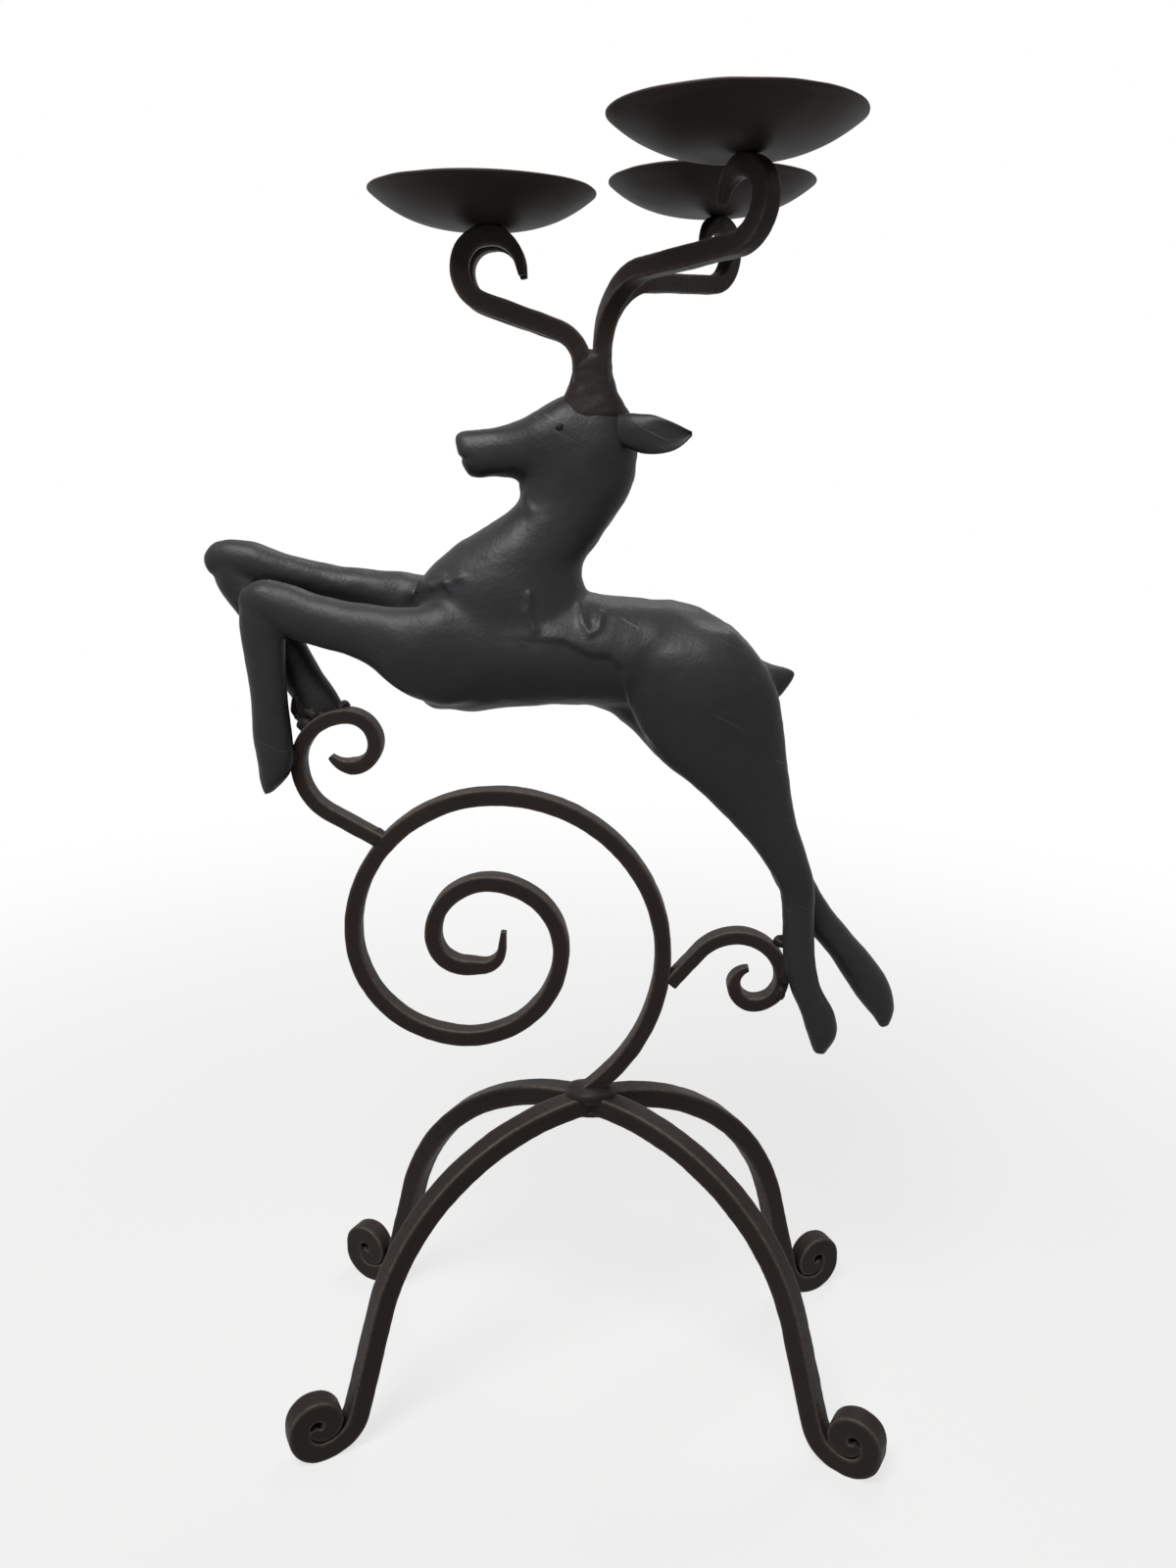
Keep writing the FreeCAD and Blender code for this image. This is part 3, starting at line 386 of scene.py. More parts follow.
# The places on the deer and its brackets are measured from this point, which lies in its trunk.
DEER_RISE = 250.0
DEER = np.array([HUB_X, 0.0, HUB_Z + DEER_RISE])
FRONT_BRACKET = [("run", 33.0), ("right", 30.0, 60.8), ("right", 26.5, 90.0), ("right", 14.0, 90.0),
                 ("right", 13.0, 90.0)]
FRONT_TIP = [("right", 14.0, 50.0)]
REAR_BRACKET = [("run", 24.0), ("right", 26.0, 50.0), ("right", 24.5, 90.0), ("right", 14.5, 90.0),
                ("right", 11.0, 90.0)]
REAR_TIP = [("right", 9.0, 80.0)]
# A bracket's moves, its tip's moves, its first heading, the moves up to a point of its line that is
# known, and that point's x and z.
BRACKETS = {
    "front_bracket": (FRONT_BRACKET, FRONT_TIP, 150.8, 3, (-127.5, -31.2)),
    "rear_bracket": (REAR_BRACKET, REAR_TIP, 50.0, 2, (77.5, -148.6)),
}
# The lumps of weld between hoof and bracket, by place and radii, and the one at a bracket's root.
HOOF_WELDS = {
    "front_bracket": [((-140.0, 5.0, -31.0), (7.5, 5.0, 3.4)), ((-150.0, 1.5, -37.0), (4.2, 5.0, 4.6)),
                      ((-131.0, 5.5, -27.5), (4.0, 4.0, 2.6)), ((-156.0, -4.0, -52.0), (3.4, 4.0, 6.0)),
                      ((-153.6, 4.0, -28.0), (4.2, 5.0, 8.5)), ((-147.0, 4.0, -31.0), (6.5, 5.5, 4.6))],
    "rear_bracket": [((101.0, -3.0, -150.5), (4.5, 4.0, 3.4)), ((103.0, -4.5, -166.0), (3.6, 4.0, 9.0)),
                     ((101.5, -3.5, -180.0), (3.0, 3.6, 4.0))],
}
ROOT_POINT = 4
ROOT_WELD = (4.6, 5.2, 4.6)
HOOF_WELD_ROUGH = 0.16
for number, (name, (moves, tip, heading, known, spot)) in enumerate(BRACKETS.items()):
    line, headings, counts = centre_line(moves + tip, heading=heading)
    line = line - line[counts[known] - 1] + DEER[[0, 2]] + spot
    bracket = forged_bar(name + "_bar", line, headings,
                         drawn_down(counts, len(moves), BRACKET_DEPTH, POINT_DEPTH),
                         drawn_down(counts, len(moves), BRACKET_BAR, POINT_BAR),
                         in_plane, seed=80 + number * 7)
    add_piece(bracket, bar_paint, "forged_bar", name)
    root = np.array([line[ROOT_POINT, 0], 0.0, line[ROOT_POINT, 1]]) - DEER
    lumps = HOOF_WELDS[name] + [(root, ROOT_WELD)]
    welds = [weld_lump(DEER + centre, radii, seed=90 + number * 9 + index, rough=HOOF_WELD_ROUGH)
             for index, (centre, radii) in enumerate(lumps)]
    add_piece(new_piece(name + "_welds", welds), weld_paint, "weld_metal")

# Deer: sheet iron, beaten to shape. Trunk, neck and head are two halves that meet on the middle
# plane, and the tail is a nub drawn out of the rump. The legs are welded on, the forelegs bent at the
# knee and the hind legs in one length. Most welds are ground smooth, a few are left as short beads.

# A station is x, y to the piece's side, z, slope of the long axis, half length and half width.
TORSO = [
    (-97.0, 0.0, 3.0, 90.0, 9.0, 8.0), (-90.0, 0.0, 3.7, 90.0, 24.0, 18.0),
    (-72.0, 0.0, 4.0, 90.0, 31.2, 27.0), (-45.0, 0.0, 4.7, 90.0, 30.0, 29.0),
    (-10.0, 0.0, 5.2, 90.0, 28.5, 27.5), (20.0, 0.0, 2.6, 90.0, 28.4, 26.5),
    (45.0, 0.0, -0.4, 90.0, 29.2, 25.0), (66.0, 0.0, -3.4, 90.0, 21.2, 19.5),
    (79.0, 0.0, -7.6, 90.0, 12.0, 12.5), (87.0, 0.0, -10.0, 90.0, 8.0, 8.0),
]
GROIN = [
    (-6.0, 0.0, -14.0, 90.0, 8.0, 7.0), (8.0, 0.0, -17.0, 90.0, 12.2, 10.0),
    (20.0, 0.0, -24.0, 90.0, 14.0, 12.0), (34.0, 0.0, -37.0, 90.0, 14.6, 12.0),
    (48.0, 0.0, -46.0, 90.0, 10.0, 9.0),
]
NECK = [
    (-42.0, 0.0, 19.7, -2.0, 46.0, 26.0), (-47.0, 0.0, 37.2, -2.0, 41.0, 24.5),
    (-39.2, 0.0, 50.7, -9.3, 31.4, 21.0), (-27.6, 0.0, 60.9, -12.3, 25.1, 18.0),
    (-17.1, 0.0, 72.2, -6.0, 24.1, 16.5), (-10.8, 0.0, 82.2, 5.4, 26.9, 16.5),
    (-9.0, 0.0, 94.7, 14.5, 27.9, 17.0), (-3.2, 0.0, 110.2, 6.8, 21.0, 15.5),
    (-3.0, 0.0, 125.0, -4.0, 14.5, 10.5),
]
HEAD = [
    (0.0, 0.0, 109.7, 75.0, 15.0, 13.0), (-21.0, 0.0, 106.5, 72.2, 22.8, 15.0),
    (-35.0, 0.0, 104.0, 73.0, 17.0, 13.0), (-47.5, 0.0, 100.7, 78.0, 12.3, 10.0),
    (-59.0, 0.0, 99.3, 87.0, 11.3, 8.8), (-64.5, 0.0, 99.9, 93.0, 10.2, 7.8),
    (-67.6, 0.0, 101.9, 97.0, 7.0, 6.0), (-69.2, 0.0, 104.0, 100.0, 3.6, 3.4),
]
TAIL = [
    (78.0, 0.0, -12.0, 84.0, 12.0, 8.0), (87.0, 0.0, -11.0, 86.0, 10.4, 7.0),
    (92.5, 0.0, -10.2, 88.0, 9.2, 6.2), (97.0, 0.0, -8.6, 80.0, 6.0, 4.6),
    (100.4, 0.0, -7.2, 70.0, 2.4, 2.2),
]
FORELEG_LEFT = [
    (-48.0, 19.0, 4.0, 90.0, 14.0, 8.0), (-72.0, 20.0, 3.6, 90.0, 25.4, 11.5),
    (-94.0, 17.5, 5.5, 90.0, 21.7, 13.0), (-114.0, 15.0, 13.8, 86.0, 14.6, 11.5),
    (-136.0, 13.0, 18.7, 82.0, 12.6, 10.0), (-155.0, 12.0, 24.5, 82.0, 12.8, 9.5),
    (-168.0, 12.0, 28.7, 78.0, 10.0, 8.5), (-175.5, 12.0, 30.7, 75.0, 4.5, 4.5),
]
FORESHANK_LEFT = [
    (-165.0, 12.0, 30.0, 0.0, 10.5, 7.5), (-165.5, 12.0, 20.0, 0.0, 11.3, 8.5),
    (-165.5, 11.5, 2.0, 0.0, 10.4, 8.0), (-164.8, 10.5, -22.0, 0.0, 9.4, 7.8),
    (-164.4, 9.5, -42.0, 0.0, 9.8, 8.0), (-163.5, 9.0, -55.0, 6.0, 9.2, 8.3),
    (-164.8, 9.0, -63.6, 14.0, 7.6, 7.5), (-168.0, 9.0, -71.2, 20.0, 3.0, 3.2),
]
FORELEG_RIGHT = [
    (-48.0, 19.0, 4.0, 90.0, 14.0, 8.0), (-72.0, 20.0, 6.0, 90.0, 24.0, 11.5),
    (-94.0, 18.0, 19.6, 86.0, 20.2, 12.0), (-114.0, 16.0, 29.8, 86.0, 11.5, 10.0),
    (-136.0, 14.0, 34.5, 80.0, 9.5, 9.0), (-158.0, 12.0, 40.0, 76.0, 9.0, 8.5),
    (-181.0, 11.0, 45.8, 72.0, 10.2, 8.5), (-191.0, 11.0, 46.6, 76.0, 9.4, 7.4),
    (-197.2, 11.0, 46.4, 80.0, 6.4, 5.2), (-199.6, 11.0, 46.0, 84.0, 2.4, 2.4),
]
FORESHANK_RIGHT = [
    (-187.0, 11.0, 50.0, -12.0, 8.0, 7.0), (-184.5, 11.0, 38.0, 8.0, 10.8, 8.5),
    (-173.2, 10.5, 21.0, 20.0, 10.8, 8.5), (-160.0, 9.0, 1.0, 22.0, 10.4, 8.3),
    (-152.5, 7.5, -13.0, 18.0, 10.6, 8.3), (-145.0, 7.0, -24.5, 14.0, 11.0, 8.0),
    (-140.5, 7.0, -33.5, 14.0, 11.5, 6.5),
]
HAUNCH = [
    (52.0, 14.0, 20.0, -4.0, 16.0, 6.0), (47.0, 15.0, 8.0, -2.0, 32.0, 13.5),
    (50.5, 15.2, -6.0, 0.0, 37.5, 16.3), (56.5, 14.6, -24.0, 0.0, 36.5, 16.4),
    (62.6, 13.5, -42.5, 3.0, 33.2, 14.8), (74.4, 13.5, -61.0, 4.0, 24.3, 11.8),
    (86.7, 12.5, -80.5, 5.0, 16.1, 10.0), (98.9, 11.5, -100.8, 4.0, 11.5, 8.6),
]
HINDSHANK_LEFT = [
    (105.7, 10.5, -116.0, 9.0, 9.4, 8.0), (107.7, 10.0, -135.4, 6.0, 8.4, 7.6),
    (109.6, 9.5, -158.5, 0.0, 8.4, 7.6), (114.5, 9.0, -175.5, 2.0, 8.4, 7.6),
    (121.4, 9.0, -189.6, 0.0, 9.2, 8.0), (124.1, 9.0, -201.0, 2.0, 8.0, 7.6),
    (123.6, 9.0, -212.6, -6.0, 3.2, 3.6),
]
HINDSHANK_RIGHT = [
    (107.0, 10.5, -119.4, 18.0, 9.8, 8.0), (118.6, 10.0, -138.3, 36.0, 9.2, 7.6),
    (132.5, 9.5, -153.9, 40.0, 8.6, 7.6), (145.4, 9.0, -170.3, 36.0, 9.4, 8.0),
    (155.2, 9.0, -185.0, 28.0, 9.2, 7.8), (160.8, 9.0, -197.2, 18.0, 6.0, 6.0),
    (161.8, 9.0, -205.0, 10.0, 2.6, 3.0),
]
DEER_FORMS = [
    ("body", TORSO, 1), ("body", GROIN, 1), ("body", NECK, 1), ("body", HEAD, 1), ("tail", TAIL, 1),
    ("foreleg_left", FORELEG_LEFT, -1), ("foreleg_left", FORESHANK_LEFT, -1),
    ("foreleg_right", FORELEG_RIGHT, 1), ("foreleg_right", FORESHANK_RIGHT, 1),
    ("hindleg_left", HAUNCH + HINDSHANK_LEFT, -1), ("hindleg_right", HAUNCH + HINDSHANK_RIGHT, 1),
]
SHEETS = np.array(["body_left_half", "body_right_half", "tail", "foreleg_left", "foreleg_right",
                   "hindleg_left", "hindleg_right"])
LEFT_HALF, RIGHT_HALF = 0, 1
SHEET_WALL = 1.2
OVAL_AROUND = 64
SKIN_CELL = 1.1
# Where the welds are ground smooth: place and radius.
GROUND = [
    ((-60.0, -26.0, 12.0), 24.0), ((-60.0, 26.0, 12.0), 24.0), ((-78.0, -24.0, -12.0), 16.0),
    ((-16.0, -15.0, 98.0), 20.0), ((-16.0, 15.0, 98.0), 20.0), ((0.0, -13.0, 116.0), 14.0),
    ((0.0, 13.0, 116.0), 14.0), ((40.0, -20.0, 22.0), 24.0), ((40.0, 20.0, 22.0), 24.0),
    ((76.0, -12.0, 2.0), 20.0), ((76.0, 12.0, 2.0), 20.0), ((8.0, 0.0, -27.0), 14.0),
    ((-80.0, 20.0, 30.0), 14.0),
]
# Weld beads that were left standing: route in x and z, radius, height and side of the deer.
BEADS = [
    ([(-32.4, 34.7), (-33.4, 26.6), (-29.8, 17.6)], 1.9, 1.2, -1),
    ([(-9.3, 31.0), (-6.5, 21.0), (-3.0, 16.5), (1.0, 19.0), (2.0, 25.0)], 1.9, 1.1, -1),
    ([(-79.6, 36.8), (-65.8, 41.7)], 2.0, 1.3, -1),
    ([(-75.0, 42.0), (-71.0, 36.0)], 1.8, 1.1, -1),
    ([(-36.6, 79.0), (-33.0, 74.0)], 2.6, 0.9, -1),
    ([(-30.0, 30.0), (-27.0, 18.0)], 2.4, 0.9, 1),
    ([(-92.0, 31.0), (-76.0, 39.0)], 5.0, 2.6, 1),
]
BEAD_INNER = 4.0
BEAD_LUMP = 9.0
# What the hammer left: height, width and seed of each size of dent.
BEATEN_DENTS = [(0.36, 30.0, 100), (0.13, 11.0, 101), (0.05, 5.0, 104)]
SEAM_WIDTH = 2.4
SEAM_LUMP = 12.0
THROAT = (-37.5, 0.0, 85.0)
THROAT_RADIUS = 4.5
THROAT_HEIGHT = 2.0
# The fold's line over the flank: the haunch's edge as z and x, the saddle's edge as x and z.
HAUNCH_EDGE = ((-47.0, -31.4, -19.7, -8.1, 0.5), (35.4, 22.9, 17.4, 13.9, 12.3))
SADDLE_EDGE = ((-40.0, -15.7, -3.9, 6.5, 12.3), (14.0, 12.9, 6.9, 6.1, 0.5))
FOLD_HEIGHT = 2.2
FOLD_SOFTNESS = 0.45
FOLD_REACH = 15.0
FOLD_Z = -8.0
FOLD_FADE = 30.0
FOLD_FRONT = -45.0
FOLD_INNER = 8.0
# The mouth is cut in the muzzle's end, above the chin, along the line of the lips.
MUZZLE_X = -60.0
MUZZLE_FADE = 6.0
CHIN_Z = 80.0
LIP_Z = 97.0
MOUTH_DEPTH = 1.0
MOUTH_WIDTH = 1.2
LIP_BACK = 0.3
LIP_SOFTNESS = 0.8
# Dust and dents in the sheet have their real sizes. The grain of dried spray is far finer than
# this, and is drawn coarser so that it shows. A scratch is given by its length, depth and width.
DUST_PATCH = 40.0
SHALLOW_DENT = 14.0
SPRAY_GRAIN = 1.7
SCRATCH = (45.0, 12.0, 0.9)


def ovals(stations, side, between=12):
    """The ovals of a formed piece: every value of its stations runs on smoothly from station to
    station, by cubic Hermite curves whose slopes are those of the neighbours."""
    table = np.array(stations) * [1, side, 1, 1, 1, 1] + np.append(DEER, [0, 0, 0])
    gaps = np.linalg.norm(np.diff(table[:, :3], axis=0), axis=1)
    slopes = np.gradient(table, np.append(0, np.cumsum(gaps)), axis=0)
    share = np.linspace(0, 1, between, endpoint=False)[:, None]
    begin, end = table[:-1, None], table[1:, None]
    leave, arrive = slopes[:-1, None] * gaps[:, None, None], slopes[1:, None] * gaps[:, None, None]
    values = (begin * (1 + 2 * share) * (1 - share) ** 2 + end * share ** 2 * (3 - 2 * share)
              + leave * share * (1 - share) ** 2 - arrive * share ** 2 * (1 - share))
    return np.concatenate([values.reshape(-1, 6), table[-1:]])


def oval_rings(values):
    """Points round each oval: half length times cosine along its slope, half width times sine
    across."""
    turn = np.arange(OVAL_AROUND) / OVAL_AROUND * 2 * np.pi
    tilt = np.radians(values[:, 3:4])
    along = values[:, 4:5] * np.cos(turn)
    across = values[:, 5:] * np.sin(turn)
    return np.stack([values[:, :1] + along * np.cos(tilt), values[:, 1:2] + across,
                     values[:, 2:3] + along * np.sin(tilt)], -1)


def way_outside(values, points):
    """About how far each point lies outside a formed piece: how much the oval whose middle is
    nearest would have to grow to reach it, with half its distance from that oval's plane."""
    gaps = (points ** 2).sum(1)[:, None] - 2 * points @ values[:, :3].T + (values[:, :3] ** 2).sum(1)
    oval = values[gaps.argmin(1)]
    away = points - oval[:, :3]
    tilt = np.radians(oval[:, 3])
    along = away[:, 0] * np.cos(tilt) + away[:, 2] * np.sin(tilt)
    past = away[:, 2] * np.cos(tilt) - away[:, 0] * np.sin(tilt)
    reach = np.sqrt((along / oval[:, 4]) ** 2 + (away[:, 1] / oval[:, 5]) ** 2)
    growth = (reach - 1) * np.minimum(oval[:, 4], oval[:, 5])
    return np.hypot(growth, 0.5 * past) * np.sign(reach - 1)


def one_skin(rings, cell):
    """Closed forms pushed into one another, as one skin: a remesh in small cells keeps only their
    outer wall. Gives its points and four-sided faces."""
    lump = new_piece("deer_lump", [tube(form, form[[0, -1]].mean(1)) for form in rings])
    wrap = lump.modifiers.new("wrap", "REMESH")
    wrap.mode = "VOXEL"
    wrap.voxel_size = cell * MM
    wrapped = lump.evaluated_get(bpy.context.evaluated_depsgraph_get())
    mesh = bpy.data.meshes.new_from_object(wrapped)
    points = np.empty(len(mesh.vertices) * 3, np.float32)
    mesh.vertices.foreach_get("co", points)
    faces = np.empty(len(mesh.loops), np.int32)
    mesh.loops.foreach_get("vertex_index", faces)
    bpy.data.meshes.remove(lump.data)
    bpy.data.meshes.remove(mesh)
    return points.reshape(-1, 3) / MM, faces.reshape(-1, 4)


def normals_of(points, faces):
    """The outward direction at each point, from the diagonals of the faces round it."""
    corners = points[faces]
    across = np.cross(corners[:, 2] - corners[:, 0], corners[:, 3] - corners[:, 1])
    total = np.stack([np.bincount(faces.ravel(), np.repeat(across[:, axis], 4), len(points))
                      for axis in range(3)], 1)
    return total / np.linalg.norm(total, axis=1, keepdims=True)


def ground_smooth(points, faces, share, passes):
    """Grinds welds smooth: each pass moves every point by its share of the way to the middle of
    the points next to it."""
    one, two = faces.ravel(), np.roll(faces, -1, 1).ravel()
    count = np.bincount(one, minlength=len(points))
    for _ in range(passes):
        middle = np.stack([np.bincount(one, column, len(points)) for column in points[two].T], 1)
        points = points + share[:, None] * (middle / count[:, None] - points)
    return points


def bell(points, centre, radius):
    """1 at a place on the deer, falling off in a bell over a radius."""
    return np.exp(-((points - DEER - centre) ** 2).sum(1) / radius ** 2)


def bead(points, route, radius, side):
    """1 along a weld bead on one side of the deer, seen from that side, falling off in a bell to
    both sides of its route."""
    seen = (points - DEER)[:, None, [0, 2]]
    start, way = np.array(route[:-1]), np.diff(route, axis=0)
    share = np.clip(((seen - start) * way).sum(-1) / (way ** 2).sum(-1), 0, 1)
    gap = np.linalg.norm(seen - start - share[..., None] * way, axis=-1).min(1)
    return np.exp(-(gap / radius) ** 2) * (side * points[:, 1] > BEAD_INNER)


def flank_fold(x, y, z):
    """The step where haunch and saddle lie over the flank. With p the way past the fold's line, it
    rises as 1 / (1 + exp(-p / softness)) and dies away behind the line as exp(-(p / reach)^2). It
    also fades up, down and to the front, and keeps off the middle plane."""
    past = np.maximum(x - np.interp(z, *HAUNCH_EDGE), z - np.interp(x, *SADDLE_EDGE))
    rise = FOLD_HEIGHT / (1 + np.exp(-past / FOLD_SOFTNESS))
    behind = np.exp(-(np.maximum(past, 0) / FOLD_REACH) ** 2)
    level = np.exp(-((z - FOLD_Z) / FOLD_FADE) ** 4)
    front = np.clip((x - FOLD_FRONT) / FOLD_FADE, 0, 1)
    return rise * behind * level * front * (np.abs(y) > FOLD_INNER)


def mouth_cut(x, z):
    """How deep the mouth is cut in the muzzle's end. With h the height over the line of the lips, it
    is a notch exp(-(h / width)^2), and the lower lip lies back as 1 / (1 + exp(h / softness))."""
    muzzle = np.clip((MUZZLE_X - x) / MUZZLE_FADE, 0, 1) * (z > CHIN_Z)
    notch = MOUTH_DEPTH * np.exp(-((z - LIP_Z) / MOUTH_WIDTH) ** 2)
    return muzzle * (notch + LIP_BACK / (1 + np.exp((z - LIP_Z) / LIP_SOFTNESS)))


def sheet_shell(points, outward, faces):
    """A closed shell one sheet thick: the outer faces, the same faces a sheet further in and turned
    round, and walls between the two along every edge that only one face has. Gives its points, its
    arrays of faces and the direction of the surface at each point."""
    used, outer = np.unique(faces, return_inverse=True)
    outer = outer.reshape(-1, 4)
    count = len(used)
    steps = np.stack([outer, np.roll(outer, -1, 1)], -1).reshape(-1, 2)
    rim = steps[~np.isin(steps @ [count, 1], steps @ [1, count])]
    walls = np.concatenate([rim[:, ::-1], rim + count], 1)
    both = np.concatenate([points[used], points[used] - SHEET_WALL * outward[used]])
    ways = np.concatenate([outward[used], -outward[used]])
    return both, [outer, outer[:, ::-1] + count, walls], ways


def painted_sheet():
    """Beaten sheet iron sprayed satin black: soft cold highlights that break over the dents, dust
    in patches, a few long scratches, and the fine grain of the dried spray."""
    material = new_material("satin_black_spray_on_beaten_sheet")
    place = add_node(material, "ShaderNodeTexCoord").node.outputs["Object"]
    patch = add_node(material, "ShaderNodeTexNoise", Vector=place, Scale=1 / (DUST_PATCH * MM),
                     Detail=5.0)
    dents = add_node(material, "ShaderNodeTexNoise", Vector=place, Scale=1 / (SHALLOW_DENT * MM),
                     Detail=2.0)
    grain = add_node(material, "ShaderNodeTexNoise", Vector=place, Scale=1 / (SPRAY_GRAIN * MM),
                     Detail=4.0)
    stretched = add_node(material, "ShaderNodeMapping", {"vector_type": "TEXTURE"}, Vector=place,
                         Rotation=(0.0, 0.45, 0.0), Scale=tuple(size * MM for size in SCRATCH))
    lines = add_node(material, "ShaderNodeTexNoise", Vector=stretched, Scale=1.0, Detail=1.0)
    scratches = add_node(material, "ShaderNodeMapRange", Value=lines, From_Min=0.74, From_Max=0.8,
                         To_Max=0.5)
    dusty = add_node(material, "ShaderNodeMix", {"data_type": "RGBA"}, Factor=patch,
                     A=linear("#151516"), B=linear("#252527"))
    colour = add_node(material, "ShaderNodeMix", {"data_type": "RGBA"}, Factor=scratches,
                      A=dusty, B=linear("#57575a"))
    sheen = add_node(material, "ShaderNodeMapRange", Value=patch, To_Min=0.4, To_Max=0.54)
    broad = add_node(material, "ShaderNodeBump", Strength=0.22, Distance=0.0015, Height=dents)
    bump = add_node(material, "ShaderNodeBump", Strength=0.45, Distance=0.0004, Height=grain,
                    Normal=broad)
    surface = add_node(material, "ShaderNodeBsdfPrincipled", Base_Color=colour, Roughness=sheen,
                       Specular_IOR_Level=0.17, Normal=bump)
    add_node(material, "ShaderNodeOutputMaterial", Surface=surface)
    return material


# All the forms become one skin, which is softened a little all over and ground smooth at the welds.
forms = [ovals(stations, side) for _, stations, side in DEER_FORMS]
skin, quads = one_skin([oval_rings(form) for form in forms], SKIN_CELL)
everywhere = np.ones(len(skin))
skin = ground_smooth(skin, quads, share=0.5 * everywhere, passes=6)
ground = np.clip(sum(bell(skin, centre, radius) for centre, radius in GROUND), 0, 1)
skin = ground_smooth(skin, quads, share=0.6 * ground, passes=90)

# Then come the dents, the lumps of the middle seam, the beads, the throat's lump, fold and mouth.
deer_x, deer_y, deer_z = (skin - DEER).T
lift = sum(height * ripple(skin, width, seed) for height, width, seed in BEATEN_DENTS)
seam_lumps = np.clip(0.15 + 0.5 * ripple(skin, SEAM_LUMP, seed=102), 0, 1) * (deer_x > MUZZLE_X)
lift += np.exp(-(deer_y / SEAM_WIDTH) ** 2) * seam_lumps
bead_lumps = 1 + 0.2 * ripple(skin, BEAD_LUMP, seed=103)
for route, radius, height, side in BEADS:
    lift += height * bead(skin, route, radius, side) * bead_lumps
lift += THROAT_HEIGHT * bell(skin, THROAT, THROAT_RADIUS)
lift += flank_fold(deer_x, deer_y, deer_z) - mouth_cut(deer_x, deer_z)
skin = skin + lift[:, None] * normals_of(skin, quads)

# The skin is parted into its sheets: each point goes to the form that it lies deepest in, the
# borders are evened out, and the body is parted on the middle plane.
outside = np.full((len(skin), len(SHEETS)), np.inf)
for (name, _, _), form in zip(DEER_FORMS, forms):
    column = int(np.char.startswith(SHEETS, name).argmax())
    outside[:, column] = np.minimum(outside[:, column], way_outside(form, skin))
nearest = np.eye(len(SHEETS))[outside.argmin(1)]
shares = ground_smooth(nearest, quads, share=0.6 * everywhere, passes=80)
owners = shares[quads].sum(1).argmax(1)
owners[(owners == LEFT_HALF) & (skin[quads, 1].mean(1) > 0)] = RIGHT_HALF
seam = np.intersect1d(quads[owners == LEFT_HALF], quads[owners == RIGHT_HALF])
skin[seam, 1] = 0.0
skin_normals = normals_of(skin, quads)

sheet_paint = painted_sheet()
for number, name in enumerate(SHEETS.tolist()):
    shell, shell_faces, ways = sheet_shell(skin, skin_normals, quads[owners == number])
    sheet = new_piece(name + "_sheet", [(shell, shell_faces)])
    sheet.data.normals_split_custom_set_from_vertices(ways.tolist())
    add_piece(sheet, sheet_paint, "formed_sheet", name)

# Ears and eyes: the ears are leaves of sheet, cupped and welded on behind the brow, and each eye is
# a single dot of weld.
EAR = [
    (8.0, 8.0, 111.2, 88.0, 7.0, 5.0), (14.9, 12.0, 110.6, 89.0, 8.2, 4.6),
    (20.0, 14.4, 109.4, 90.0, 8.9, 4.0), (24.0, 16.0, 109.0, 90.0, 8.9, 3.5),
    (30.0, 18.2, 108.5, 91.0, 7.8, 2.8), (36.2, 20.2, 108.4, 92.0, 5.4, 2.2),
    (40.0, 21.4, 108.9, 94.0, 3.2, 1.6), (43.0, 22.2, 109.7, 95.0, 1.0, 0.9),
]
EAR_CUP = 2.4
EAR_DENT = 0.25
EYE = (-18.6, 13.9, 112.0)
EYE_RADII = (2.0, 1.5, 1.8)


def ear_leaf(side):
    """An ear: the ovals of a thin leaf, whose two edges stand out from its middle by the depth of the
    cup. The cup begins a quarter of the way along the leaf and is full past its middle."""
    leaf = oval_rings(ovals(EAR, side))
    edges = np.cos(np.arange(OVAL_AROUND) / OVAL_AROUND * 2 * np.pi) ** 2
    cupped = np.clip(np.arange(len(leaf)) / len(leaf) * 3 - 0.8, 0, 1)[:, None]
    leaf[..., 1] += side * EAR_CUP * (edges - 0.5) * cupped
    leaf += EAR_DENT * ripple(leaf, wave=9.0, seed=150)[..., None] * [0.0, 1.0, 0.6]
    return tube(leaf, leaf[[0, -1]].mean(1))


for name, side in (("ear_left", -1), ("ear_right", 1)):
    add_piece(new_piece(name + "_leaf", [ear_leaf(side)]), sheet_paint, "formed_sheet", name)
eyes = [weld_lump(DEER + [EYE[0], side * EYE[1], EYE[2]], EYE_RADII, seed=160 + side)
        for side in (-1, 1)]
add_piece(new_piece("eye_dots", eyes), weld_paint, "weld_metal", "eyes")

# Antlers: four square bars stand two by two on the crown. The front pair leans out under one pan,
# and each rear bar swings out under its own. They curl over at the top and end in a drawn point.
ANTLER_BAR = 9.0
ANTLER_TIP = 3.0
ANTLER_GAP = 0.3
ANTLER_CORNER = 7.0
STEM = DEER + [-4.0, 0.0, 119.0]
TINE = [("run", 20.5), ("right", 17.0, 72.0), ("run", 36.0), ("left", 15.6, 72.0), ("left", 13.9, 90.0)]
TINE_TIP = [("left", 13.9, 80.0), ("run", 5.0)]
TINE_SPREAD = 6.0
BEAM = [("run", 28.2), ("right", 33.0, 86.0), ("run", 54.6), ("left", 17.0, 86.0), ("left", 12.0, 90.0)]
BEAM_TIP = [("left", 12.0, 75.0), ("run", 4.0)]
BEAM_AZIMUTH = 49.9
